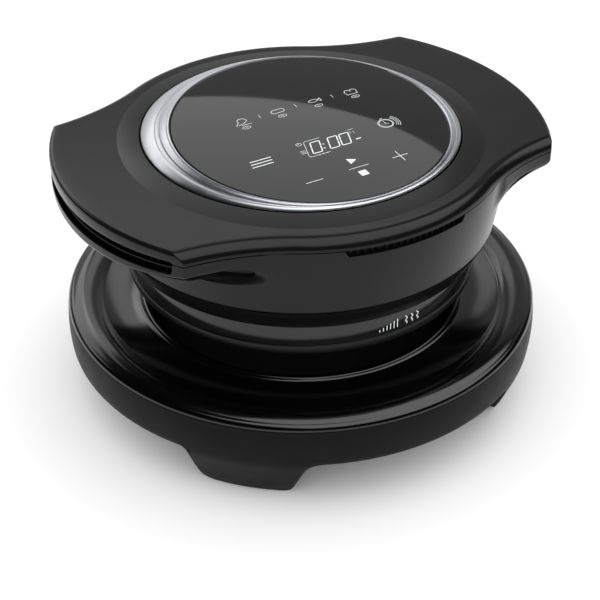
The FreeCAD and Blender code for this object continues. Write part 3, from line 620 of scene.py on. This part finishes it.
def chrome_ring_piece():
    columns = 384

    def crown(start, end, high, steps):
        """A rounded ridge across part of the ring's width."""
        return [(mix(start, end, k / steps), high * math.sin(math.pi * k / steps) ** 0.8)
                for k in range(steps + 1)]

    profile = [(0.0, -2.6), (0.0, -0.3)] + crown(0.012, 0.505, 0.66, 12)
    profile += [(0.512, -0.35), (0.55, -0.46), (0.62, -0.46), (0.655, -0.34), (0.665, 0.0), (0.69, 0.1)]
    profile += [(0.87, 0.06)] + crown(0.9, 0.985, 0.38, 6) + [(0.985, -2.6)]
    verts = []
    for i in range(columns):
        angle = TAU * i / columns
        c, s = math.cos(angle), math.sin(angle)
        outer = Vector((RING_R * c, RING_R * s, COLLAR_TOP_Z - 0.15))
        inner = Vector(on_glass(91.5 * c, 91.5 * s, -0.15))
        slope = inner - outer
        width = slope.length
        side = Vector((-s, c, 0))
        up = slope.cross(side).normalized() * -1
        if up.z < 0:
            up = -up
        swell = min(1.0, width / 14)
        for t, h in profile:
            lift = h * swell if h > -2 else h
            verts.append(tuple(outer + slope * t + up * lift))
    piece = new_mesh("chrome_ring_trim", verts, grid_faces(columns, len(profile)))
    merge_close(piece, 0.000002)
    keep_edges_crisp(piece, 55)
    return piece


def touch_glass_piece():
    columns = 320
    outline = rounded([(0.0, GLASS_T), (GLASS_R, GLASS_T), (GLASS_R, 0.0, 0.5), (0.0, 0.0)], 5)
    rings = [(r, d) for r, d in outline if r > 0]
    verts = [on_glass(0, 0, GLASS_T)]
    for r, d in rings:
        for i in range(columns):
            verts.append(on_glass(r * math.cos(TAU * i / columns), r * math.sin(TAU * i / columns), d))
    verts.append(on_glass(0, 0, 0))
    faces = []
    for k in range(len(rings) - 1):
        for i in range(columns):
            a, b = 1 + k * columns + i, 1 + k * columns + (i + 1) % columns
            faces.append((a, b, b + columns, a + columns))
    last = len(verts) - 1
    for i in range(columns):
        faces.append((0, 1 + (i + 1) % columns, 1 + i))
        top = 1 + (len(rings) - 1) * columns
        faces.append((top + i, top + (i + 1) % columns, last))
    piece = new_mesh("touch_glass_panel", verts, faces)
    merge_close(piece, 0.000002)
    keep_edges_crisp(piece, 25)
    return piece


class Ribbons:
    """Collects flat strokes drawn in (u, v) and lays them on a surface given by place(u, v, depth)."""

    def __init__(self, place, lift=0.05, thickness=0.04):
        self.place, self.lift, self.thickness = place, lift, thickness
        self.verts, self.faces = [], []

    def polygon(self, outline):
        """A flat convex patch with a small thickness."""
        base = len(self.verts)
        count = len(outline)
        self.verts += [self.place(u, v, -self.lift - self.thickness) for u, v in outline]
        self.verts += [self.place(u, v, -self.lift) for u, v in outline]
        self.faces.append(tuple(range(base, base + count)))
        self.faces.append(tuple(reversed(range(base + count, base + 2 * count))))
        for i in range(count):
            j = (i + 1) % count
            self.faces.append((base + i, base + count + i, base + count + j, base + j))

    def stroke(self, points, width, closed=False):
        points = [Vector(p) for p in points]
        count = len(points)
        left, right = [], []
        for i, p in enumerate(points):
            before = points[i - 1] if i or closed else p
            after = points[(i + 1) % count] if i < count - 1 or closed else p
            one = (p - before).normalized() if (p - before).length > 1e-6 else (after - p).normalized()
            two = (after - p).normalized() if (after - p).length > 1e-6 else one
            tangent = (one + two).normalized() if (one + two).length > 1e-6 else two
            normal = Vector((-tangent.y, tangent.x))
            reach = width / 2 / max(0.35, normal.dot(Vector((-two.y, two.x))))
            left.append(p + normal * reach)
            right.append(p - normal * reach)
        for i in range(count if closed else count - 1):
            j = (i + 1) % count
            self.polygon([tuple(right[i]), tuple(right[j]), tuple(left[j]), tuple(left[i])])

    def arc(self, centre, radius, start, end, width, steps=16, squash=1.0):
        points = []
        for k in range(steps + 1):
            angle = math.radians(mix(start, end, k / steps))
            points.append((centre[0] + radius * math.cos(angle),
                           centre[1] + radius * squash * math.sin(angle)))
        self.stroke(points, width)

    def ring(self, centre, radius, width, squash=1.0):
        turns = [TAU * k / 24 for k in range(24)]
        points = [(centre[0] + radius * math.cos(t), centre[1] + radius * squash * math.sin(t))
                  for t in turns]
        self.stroke(points, width, closed=True)

    def dot(self, centre, radius):
        turns = [TAU * k / 14 for k in range(14)]
        self.polygon([(centre[0] + radius * math.cos(t), centre[1] + radius * math.sin(t)) for t in turns])

    def piece(self, name):
        return new_mesh(name, self.verts, self.faces, smooth=False)


def seven_segments(pen, left, low, wide, high, lit, width, lean=0.0):
    """One digit from the segments named in lit: a top, b c right, d bottom, e f left, g middle."""
    gap = width * 0.35

    def at(u, v):
        return (left + u + lean * v, low + v)

    half = high / 2
    ends = {
        "a": (at(gap, high), at(wide - gap, high)), "b": (at(wide, high - gap), at(wide, half + gap)),
        "c": (at(wide, half - gap), at(wide, gap)), "d": (at(wide - gap, 0), at(gap, 0)),
        "e": (at(0, gap), at(0, half - gap)), "f": (at(0, half + gap), at(0, high - gap)),
        "g": (at(gap, half), at(wide - gap, half)),
    }
    for name in lit:
        pen.stroke(ends[name], width)


def glass_legends():
    pen = Ribbons(on_glass, lift=0.03)
    thin, fine = 0.34, 0.28

    def mark_place(k):
        """Place of the k-th programme mark on their common shallow arc."""
        u = MARK_START + MARK_PITCH * k
        return u, 18.2 - 0.0011 * (u - 10) ** 2

    icons = [(u, v + 6.4) for u, v in map(mark_place, range(4))]
    # Programme marks along the upper arc: leg on a plate, chops, fish, loaf
    u, v = icons[0]
    pen.arc((u + 1.0, v + 2.0), 3.2, -20, 200, thin, 16, 0.9)
    pen.stroke([(u - 2.0, v + 1.2), (u - 5.2, v - 2.6)], thin)
    pen.stroke([(u + 4.0, v + 1.0), (u + 1.0, v - 1.0), (u - 3.4, v - 2.2)], thin)
    pen.stroke([(u - 1.6, v - 3.0), (u + 5.6, v - 3.0)], thin)
    u, v = icons[1]
    pen.arc((u - 2.4, v), 2.6, 90, 270, thin, 10, 0.8)
    pen.arc((u + 2.6, v + 0.3), 2.2, -90, 90, thin, 10, 0.9)
    pen.stroke([(u - 2.4, v + 2.1), (u + 2.6, v + 2.3)], thin)
    pen.stroke([(u - 2.4, v - 2.1), (u + 2.6, v - 1.7)], thin)
    u, v = icons[2]
    pen.arc((u - 0.6, v - 2.6), 4.6, 40, 140, thin, 12)
    pen.arc((u - 0.6, v + 3.2), 4.6, -40, -140, thin, 12)
    pen.stroke([(u + 2.9, v + 0.3), (u + 5.0, v + 2.0), (u + 5.0, v - 1.6), (u + 2.9, v + 0.1)], thin)
    u, v = icons[3]
    pen.arc((u - 1.9, v + 0.7), 2.4, 0, 180, thin, 12)
    pen.arc((u + 2.2, v + 0.7), 2.4, 0, 150, thin, 12)
    pen.stroke([(u - 4.3, v + 0.7), (u - 3.8, v - 2.6), (u + 4.0, v - 2.6), (u + 4.5, v + 0.7)], thin)
    for u, v in map(mark_place, range(4)):
        pen.ring((u, v), 3.0, fine, 0.5)
        pen.stroke([(u - 1.2, v), (u + 1.2, v)], fine)
    for k in range(3):
        u, v = mark_place(k + 0.5)
        pen.stroke([(u, v + 4.9), (u, v + 8.7)], fine)
    # Timer mark with sound waves on its right
    u, v = 44.2, -22.2
    pen.ring((u, v), 4.6, thin, 0.95)
    pen.ring((u, v), 5.4, fine, 0.95)
    pen.stroke([(u, v), (u, v + 3.0)], thin)
    pen.stroke([(u, v), (u + 2.0, v - 1.0)], thin)
    pen.stroke([(u - 0.9, v + 6.4), (u + 0.9, v + 6.4)], 0.5)
    for k in range(3):
        pen.arc((u + 0.4, v), 6.9 + 1.3 * k, -42, 42, fine, 12)
    # Display: 0:00 in slanted segments, with a thin box round the first digit
    low, high, wide, lean = -31.9, 12.1, 6.8, 0.36
    for left in (-16.5, -3.6, 5.1):
        seven_segments(pen, left, low, wide, high, "abcdef", 0.75, lean)
    pen.dot((-6.6, low + 2.6), 0.55)
    pen.dot((-5.0, low + 7.0), 0.55)
    pen.stroke([(-3.4, -17.0), (-14.4, -17.0), (-15.6, -17.9), (-20.3, -32.6), (-19.9, -34.6),
                (-5.6, -34.6)], fine)
    for k in range(3):
        pen.stroke([(-14.0 + 2.7 * k, -34.6), (-12.7 + 2.7 * k, -34.6)], 0.6)
    # Small marks left and right of the digits
    pen.ring((-19.4, -18.2), 1.9, fine, 0.8)
    pen.stroke([(-19.4, -18.2), (-19.4, -17.0)], fine)
    for k in range(3):
        pen.stroke([(-23.2, -26.2 - 1.5 * k), (-19.4, -26.2 - 1.5 * k)], fine)
    pen.stroke([(17.2, -17.6), (21.4, -17.6)], fine)
    pen.stroke([(17.6, -22.0), (17.6, -19.8)], fine)
    pen.stroke([(19.8, -22.6), (19.8, -20.4)], fine)
    pen.stroke([(16.6, -29.6), (20.4, -29.6)], 0.9)
    # Menu bars, start triangle over stop square, plus and minus
    for k in range(3):
        pen.stroke([(-58.6 + 0.7 * k, -28.6 + 3.1 * k), (-43.6 + 0.7 * k, -28.6 + 3.1 * k)], 0.7)
    pen.polygon([(-1.8, -53.2), (3.8, -50.0), (-1.8, -46.8)])
    pen.stroke([(-6.6, -58.3), (7.8, -58.3)], 0.34)
    pen.polygon([(-2.9, -68.0), (2.5, -68.0), (2.5, -62.6), (-2.9, -62.6)])
    pen.stroke([(25.0, -59.5), (36.2, -59.5)], 0.42)
    pen.stroke([(30.7, -65.4), (30.7, -53.6)], 0.42)
    pen.stroke([(-38.2, -59.2), (-26.0, -59.2)], 0.42)
    return pen.piece("glass_legends")


def band_mark():
    """Rising bars and three heat waves printed on the gloss band."""

    def place(u, v, depth):
        angle = math.radians(BAND_MARK_ANGLE) + u / BAND_R
        r = BAND_R - depth
        return (r * math.cos(angle), r * math.sin(angle), BAND_MARK_Z + v)

    pen = Ribbons(place, lift=0.02, thickness=0.03)
    for k in range(6):
        high = 1.8 + 0.9 * k
        pen.stroke([(-18.0 + 2.6 * k, 0.0), (-18.0 + 2.6 * k, high)], 0.5)
    for k in range(3):
        left = 2.0 + 4.6 * k
        wave = [(left + 0.8 * math.sin(t * 1.05), t * 0.58) for t in range(0, 12)]
        pen.stroke(wave, 0.5)
    return pen.piece("band_mark")


# ---------------------------------------------------------------- rings of the lid's lower part


def gloss_band_piece():
    low, high = 96.6, 113.4
    return lathe("gloss_band_ring", [(BAND_R - 2.0, low), (BAND_R, low, 0.5), (BAND_R, high, 0.5),
                                     (BAND_R - 2.0, high)], 384)


def lip_ring_piece():
    low, high = 90.0, 96.4
    return lathe("lip_ring_rim", [(108.2, low, 0.4), (119.8, low, 1.6), (119.5, high, 1.0), (117.0, high),
                                  (117.0, low + 2.5), (108.2, low + 2.5)], 384)


def spigot_piece():
    low, high = 51.5, 113.4
    return lathe("spigot_sleeve", [(101.8, low, 0.5), (107.5, low, 1.6), (107.5, 110.4), (111.5, 110.4),
                                   (111.5, high), (104.5, high), (104.5, low + 2.0), (101.8, low + 2.0)], 320)


def softened(name, node, width):
    """A copy of a CAD node's mesh with its sharp edges rounded by a narrow bevel."""
    piece = bpy.data.objects.new(name, NODES[node].data.copy())
    bpy.context.collection.objects.link(piece)
    merge_close(piece)
    bevel = piece.modifiers.new("edges", "BEVEL")
    bevel.width = width * MM
    bevel.segments = 3
    bevel.limit_method = "ANGLE"
    bevel.angle_limit = math.radians(35)
    bevel.use_clamp_overlap = True
    bpy.context.view_layer.objects.active = piece
    piece.select_set(True)
    bpy.ops.object.modifier_apply(modifier="edges")
    piece.select_set(False)
    keep_edges_crisp(piece, 50)
    return piece


# ---------------------------------------------------------------- stand


def arc_through(a, b, c, steps):
    """Points of the circle arc from a through b to c, without a."""
    a, b, c = Vector(a), Vector(b), Vector(c)
    d = 2 * (a.x * (b.y - c.y) + b.x * (c.y - a.y) + c.x * (a.y - b.y))
    aa, bb, cc = a.length_squared, b.length_squared, c.length_squared
    ux = (aa * (b.y - c.y) + bb * (c.y - a.y) + cc * (a.y - b.y)) / d
    uy = (aa * (c.x - b.x) + bb * (a.x - c.x) + cc * (b.x - a.x)) / d
    centre = Vector((ux, uy))
    radius = (a - centre).length
    start = math.atan2(a.y - uy, a.x - ux)
    end = math.atan2(c.y - uy, c.x - ux)
    turn = (end - start + math.pi) % TAU - math.pi
    middle = start + turn / 2
    on = centre + Vector((math.cos(middle), math.sin(middle))) * radius
    if (on - b).length > (on + (on - centre) * -2 - b).length:
        turn -= math.copysign(TAU, turn)
    return [(ux + radius * math.cos(start + turn * k / steps),
             uy + radius * math.sin(start + turn * k / steps))
            for k in range(1, steps + 1)]


def spring_piece():
    """Coil spring round the interlock plunger: a plain helix of round wire."""
    radius, wire, turns, per_turn, around = 1.75, 0.3, 7.0, 28, 10
    low, high = SPRING_Z
    steps = int(turns * per_turn)
    verts, faces = [], []
    for k in range(steps + 1):
        angle = TAU * k / per_turn
        climb = mix(low, high, k / steps)
        out = Vector((math.cos(angle), math.sin(angle), 0))
        for j in range(around):
            turn = TAU * j / around
            place = Vector((0, PLUNGER_R, climb)) + out * (radius + wire * math.cos(turn))
            verts.append((place.x, place.y, place.z + wire * math.sin(turn)))
    for k in range(steps):
        for j in range(around):
            a, b = k * around + j, k * around + (j + 1) % around
            faces.append((a, b, b + around, a + around))
    faces.append(tuple(reversed(range(around))))
    faces.append(tuple(range(steps * around, (steps + 1) * around)))
    piece = new_mesh("plunger_coil", verts, faces)
    keep_edges_crisp(piece, 60)
    return piece


def stand_dish_piece():
    outline = [(97.4, 24.0)]
    outline += arc_through((97.4, 24.0), (100.2, 25.2), (101.4, 28.0), 6)
    outline += [(101.4, 47.4), (102.0, 48.0), (108.0, 48.0), (108.6, 48.6), (108.6, 56.0), (108.6, 63.2)]
    outline += arc_through((108.6, 63.2), (110.2, 65.3), (112.8, 64.2), 10)
    outline += [(113.4, 63.5), (114.6, 63.0)]
    outline += arc_through((114.6, 63.0), (126.0, 62.0), (139.0, 64.2), 20)
    outline += arc_through((139.0, 64.2), (150.0, 68.6), (159.6, 66.4), 28)
    outline += arc_through((159.6, 66.4), (162.3, 64.9), (163.2, 62.5), 8)
    outline += [(158.8, 62.5), (158.8, 59.0), (156.2, 59.0), (156.2, 63.8)]
    outline += arc_through((156.2, 63.8), (150.0, 65.4), (141.0, 61.6), 8)
    outline += arc_through((141.0, 61.6), (128.0, 59.2), (113.0, 60.2), 8)
    outline += [(111.6, 59.0), (111.6, 45.0), (104.4, 45.0), (104.4, 27.0)]
    outline += arc_through((104.4, 27.0), (102.4, 22.0), (98.4, 21.0), 5)
    outline += [(0.0, 21.0), (0.0, 24.0)]
    piece = lathe("stand_dish_tray", outline, 448)
    keep_edges_crisp(piece, 60)
    return piece


FOOT_WING_SIDE = rounded([(0, FOOT_SOLE_Z), (39.0, FOOT_SOLE_Z, 11.5), (42.0, SKIRT_EDGE_Z, 6.5),
                          (90.0, SKIRT_EDGE_Z)], 10)
FOOT_FRONT_SIDE = rounded([(0, FOOT_SOLE_Z), (24.9, FOOT_SOLE_Z, 7.6), (36.5, SKIRT_EDGE_Z, 12.0),
                           (90.0, SKIRT_EDGE_Z)], 10)


def foot_edge_z(side):
    """Lower edge of the skirt beside a foot's middle: side < 0 towards the wings, > 0 towards the front."""
    return height_along(FOOT_WING_SIDE if side < 0 else FOOT_FRONT_SIDE, abs(side))


def skirt_radius(z):
    """Outer face of the skirt: a straight taper through the foot, then a slightly swollen band."""
    if z < 33.0:
        return mix(150.4, 162.9, (z - 1.2) / 31.8)
    t = (z - 33.0) / 28.9
    return 162.9 + 0.4 * t + 4.4 * t * (1 - t)


def stand_skirt_piece():
    columns = 1080
    verts, rows = [], 0
    for i in range(columns):
        angle = TAU * i / columns
        foot = min(FOOT_ANGLES, key=lambda f: abs((angle - f + math.pi) % TAU - math.pi))
        side = abs((angle - foot + math.pi) % TAU - math.pi) * FOOT_MIDDLE_R
        if abs(math.sin(angle)) < abs(math.sin(foot)):
            side = -side
        low = sum(foot_edge_z(side + k) for k in (-0.8, 0, 0.8)) / 3
        closed = FOOT_REACH[0] < side < FOOT_REACH[1]
        edge_r = skirt_radius(low)
        roof = low if closed else 56.0
        wall = rounded([(160.0, 59.2), (160.0, 61.9), (163.3, 61.9, 0.9), (163.3, 60.9)])
        for k in range(1, 17):
            z = mix(60.9, low + 1.7, k / 17)
            wall.append((skirt_radius(z), z))
        for k in range(5):
            turn = math.pi / 2 * k / 4
            wall.append((edge_r - 1.7 * (1 - math.cos(turn)), low + 1.7 * (1 - math.sin(turn))))
        inner_low = low if closed else 34.5
        section = wall + [(edge_r - 3.0, low), (min(edge_r - 3.0, 159.0), roof), (138.0, roof),
                          (137.0, roof), (137.0, inner_low), (134.6, inner_low), (134.0, inner_low + 0.6),
                          (134.0, 58.4), (134.6, 59.0), (150.0, 59.1)]
        rows = len(section)
        for r, z in section:
            verts.append((r * math.cos(angle), r * math.sin(angle), z))
    piece = new_mesh("stand_skirt_ring", verts, grid_faces(columns, rows))
    merge_close(piece)
    keep_edges_crisp(piece, 42)
    return piece


# ---------------------------------------------------------------- materials


class Paint:
    """Builds one procedural material, node by node, from its Principled shader outwards."""

    def __init__(self, name, colour, roughness, metallic=0.0):
        self.material = bpy.data.materials.new(name)
        self.material.use_nodes = True
        self.nodes = self.material.node_tree.nodes
        self.links = self.material.node_tree.links
        self.shader = self.nodes["Principled BSDF"]
        self.shader.inputs["Metallic"].default_value = metallic
        self.colour = (*colour, 1)
        self.roughness = roughness
        self.shader.inputs["Base Color"].default_value = self.colour
        self.shader.inputs["Roughness"].default_value = roughness
        self.coords = self.nodes.new("ShaderNodeTexCoord").outputs["Object"]
        self.height = None

    def set(self, **sockets):
        for name, value in sockets.items():
            self.shader.inputs[name.replace("_", " ")].default_value = value
        return self

    def noise(self, scale, detail=4.0, stretch=(1, 1, 1)):
        mapping = self.nodes.new("ShaderNodeMapping")
        mapping.inputs["Scale"].default_value = stretch
        texture = self.nodes.new("ShaderNodeTexNoise")
        texture.inputs["Scale"].default_value = scale
        texture.inputs["Detail"].default_value = detail
        self.links.new(self.coords, mapping.inputs["Vector"])
        self.links.new(mapping.outputs[0], texture.inputs["Vector"])
        return texture.outputs[0]

    def ramp(self, value, low, high):
        node = self.nodes.new("ShaderNodeMapRange")
        node.inputs["From Min"].default_value = 0.3
        node.inputs["From Max"].default_value = 0.7
        node.inputs["To Min"].default_value = low
        node.inputs["To Max"].default_value = high
        self.links.new(value, node.inputs["Value"])
        return node.outputs[0]

    def vary_roughness(self, spread, scale, detail=3.0):
        value = self.ramp(self.noise(scale, detail), self.roughness - spread, self.roughness + spread)
        self.links.new(value, self.shader.inputs["Roughness"])
        return self

    def vary_colour(self, spread, scale, detail=3.0):
        blend = self.nodes.new("ShaderNodeMix")
        blend.data_type = "RGBA"
        low = [c * (1 - spread) for c in self.colour[:3]] + [1]
        high = [min(1, c * (1 + spread)) for c in self.colour[:3]] + [1]
        blend.inputs["A"].default_value = low
        blend.inputs["B"].default_value = high
        self.links.new(self.ramp(self.noise(scale, detail), 0, 1), blend.inputs["Factor"])
        self.links.new(blend.outputs["Result"], self.shader.inputs["Base Color"])
        return self

    def bump(self, scale, distance, strength=1.0, detail=2.0, stretch=(1, 1, 1)):
        node = self.nodes.new("ShaderNodeBump")
        node.inputs["Strength"].default_value = strength
        node.inputs["Distance"].default_value = distance
        self.links.new(self.noise(scale, detail, stretch), node.inputs["Height"])
        if self.height is not None:
            self.links.new(self.height, node.inputs["Normal"])
        self.height = node.outputs[0]
        self.links.new(self.height, self.shader.inputs["Normal"])
        return self


def make_materials():
    paints = {}

    def add(slot, *args, **kwargs):
        paints[slot] = Paint(slot, *args, **kwargs)
        return paints[slot]

    add("skirt_black", (0.0035, 0.0035, 0.0039), 0.44).vary_roughness(0.05, 60).vary_colour(0.12, 35) \
        .bump(2200, 0.00006, 0.5) \
        .set(Specular_IOR_Level=0.1)
    add("dish_gloss_black", (0.001, 0.001, 0.0012), 0.15).vary_roughness(0.015, 25).bump(22, 0.00002, 0.2) \
        .set(Specular_IOR_Level=0.5)
    add("satin_black", (0.004, 0.004, 0.0045), 0.22).vary_roughness(0.02, 45).vary_colour(0.1, 30) \
        .bump(1800, 0.00001, 0.2).set(Specular_IOR_Level=0.22)
    add("gloss_black", (0.006, 0.006, 0.0065), 0.1).vary_roughness(0.02, 30).bump(30, 0.00002, 0.2)
    add("black_enamel", (0.004, 0.004, 0.0045), 0.14).vary_roughness(0.03, 40).bump(350, 0.00002, 0.3)
    add("chrome_trim", (0.5, 0.51, 0.53), 0.34, metallic=1.0).vary_roughness(0.03, 90) \
        .bump(600, 0.00001, 0.25, stretch=(1, 1, 12))
    add("panel_glass", (0.0035, 0.0035, 0.004), 0.03).vary_roughness(0.01, 18) \
        .set(Specular_IOR_Level=0.4).bump(9, 0.00001, 0.1)
    add("black_rubber", (0.018, 0.018, 0.018), 0.75).vary_roughness(0.08, 80).bump(1500, 0.00008, 0.5)
    add("silicone", (0.035, 0.035, 0.038), 0.5).vary_roughness(0.06, 60).bump(700, 0.00004, 0.3)
    add("inner_plastic", (0.03, 0.03, 0.033), 0.5).vary_roughness(0.05, 60).bump(1200, 0.00004, 0.4)
    add("vent_black", (0.003, 0.003, 0.003), 0.7).vary_roughness(0.06, 60).bump(900, 0.00005, 0.4)
    add("circuit_board", (0.01, 0.11, 0.04), 0.35).vary_roughness(0.06, 160).vary_colour(0.35, 220, 6)
    add("component_black", (0.02, 0.02, 0.022), 0.45).vary_roughness(0.06, 90).bump(900, 0.00003, 0.3)
    add("relay_blue", (0.015, 0.09, 0.32), 0.4).vary_roughness(0.06, 90).bump(900, 0.00003, 0.3)
    add("terminal_green", (0.03, 0.24, 0.09), 0.42).vary_roughness(0.06, 90).bump(900, 0.00003, 0.3)
    add("steel", (0.46, 0.47, 0.49), 0.33, metallic=1.0).vary_roughness(0.08, 120).vary_colour(0.12, 40) \
        .bump(900, 0.00002, 0.4, stretch=(1, 1, 9))
    add("bright_aluminium", (0.66, 0.67, 0.68), 0.28, metallic=1.0).vary_roughness(0.08, 70) \
        .bump(700, 0.00002, 0.4, stretch=(8, 1, 1))
    add("core_steel", (0.24, 0.24, 0.26), 0.45, metallic=1.0).vary_roughness(0.08, 100) \
        .bump(900, 0.0001, 0.6, stretch=(0.05, 0.05, 6))
    add("winding_copper", (0.5, 0.17, 0.06), 0.3, metallic=1.0).vary_roughness(0.06, 200) \
        .bump(900, 0.0002, 0.7, stretch=(1, 1, 0.1))
    add("insulation", (0.66, 0.63, 0.56), 0.9).vary_colour(0.15, 90, 6).bump(400, 0.0006, 0.8, 6)
    add("element_metal", (0.09, 0.08, 0.075), 0.5, metallic=1.0).vary_roughness(0.1, 90) \
        .vary_colour(0.4, 40, 5).bump(1200, 0.00004, 0.5)
    add("ceramic_white", (0.72, 0.70, 0.66), 0.25).vary_roughness(0.05, 90).bump(300, 0.00004, 0.3)
    add("screw_steel", (0.5, 0.51, 0.53), 0.35, metallic=1.0).vary_roughness(0.1, 300) \
        .bump(1500, 0.00003, 0.4)
    # White print; its emission gives the legends on the glass and the band a painted glow, as they hold no
    # lamp
    add("legend_white", (0.62, 0.63, 0.64), 0.5).vary_colour(0.05, 60) \
        .set(Emission_Color=(0.8, 0.82, 0.85, 1), Emission_Strength=0.35)
    return {slot: paint.material for slot, paint in paints.items()}


def dress_cad_nodes(materials):
    for part in frame["record"]["subparts"]:
        node = NODES[part["node"]]
        node.data.materials.clear()
        node.data.materials.append(materials[part["material_slot"]])
        node.material_slots[0].material = materials[part["material_slot"]]
        keep_edges_crisp(node)


def finish_piece(piece, body, slot, materials, *replaced):
    piece.data.materials.clear()
    piece.data.materials.append(materials[slot])
    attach(piece, body)
    if replaced:
        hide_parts(*replaced)
    return piece


# ---------------------------------------------------------------- build

add_camera()
add_studio()
MATERIALS = make_materials()
dress_cad_nodes(MATERIALS)

finish_piece(top_cover_piece(), "lid", "satin_black", MATERIALS, "top_cover")
SHELL, SCOOPS = body_shell_pieces()
finish_piece(SHELL, "lid", "satin_black", MATERIALS, "body_shell")
finish_piece(SCOOPS, "lid", "vent_black", MATERIALS, "recess_inserts")
finish_piece(wing_vent_piece(), "lid", "vent_black", MATERIALS, "wing_vent_grilles")
finish_piece(front_vent_piece(), "lid", "vent_black", MATERIALS, "front_vent_grille")
finish_piece(chrome_ring_piece(), "lid", "chrome_trim", MATERIALS, "chrome_ring")
finish_piece(touch_glass_piece(), "lid", "panel_glass", MATERIALS, "touch_glass")
finish_piece(glass_legends(), "lid", "legend_white", MATERIALS, "legend_film")
finish_piece(band_mark(), "lid", "legend_white", MATERIALS)
finish_piece(gloss_band_piece(), "lid", "gloss_black", MATERIALS, "gloss_band")
finish_piece(lip_ring_piece(), "lid", "satin_black", MATERIALS, "lip_ring")
finish_piece(spigot_piece(), "lid", "black_enamel", MATERIALS, "spigot_skirt")
finish_piece(softened("housing_bevel", "lower_housing", 0.5), "lid", "satin_black", MATERIALS,
             "lower_housing")
SPRING = finish_piece(spring_piece(), "lid", "screw_steel", MATERIALS, "plunger_spring")
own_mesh(SPRING)
finish_piece(stand_dish_piece(), "stand", "dish_gloss_black", MATERIALS, "stand_dish")
finish_piece(stand_skirt_piece(), "stand", "skirt_black", MATERIALS, "stand_skirt")
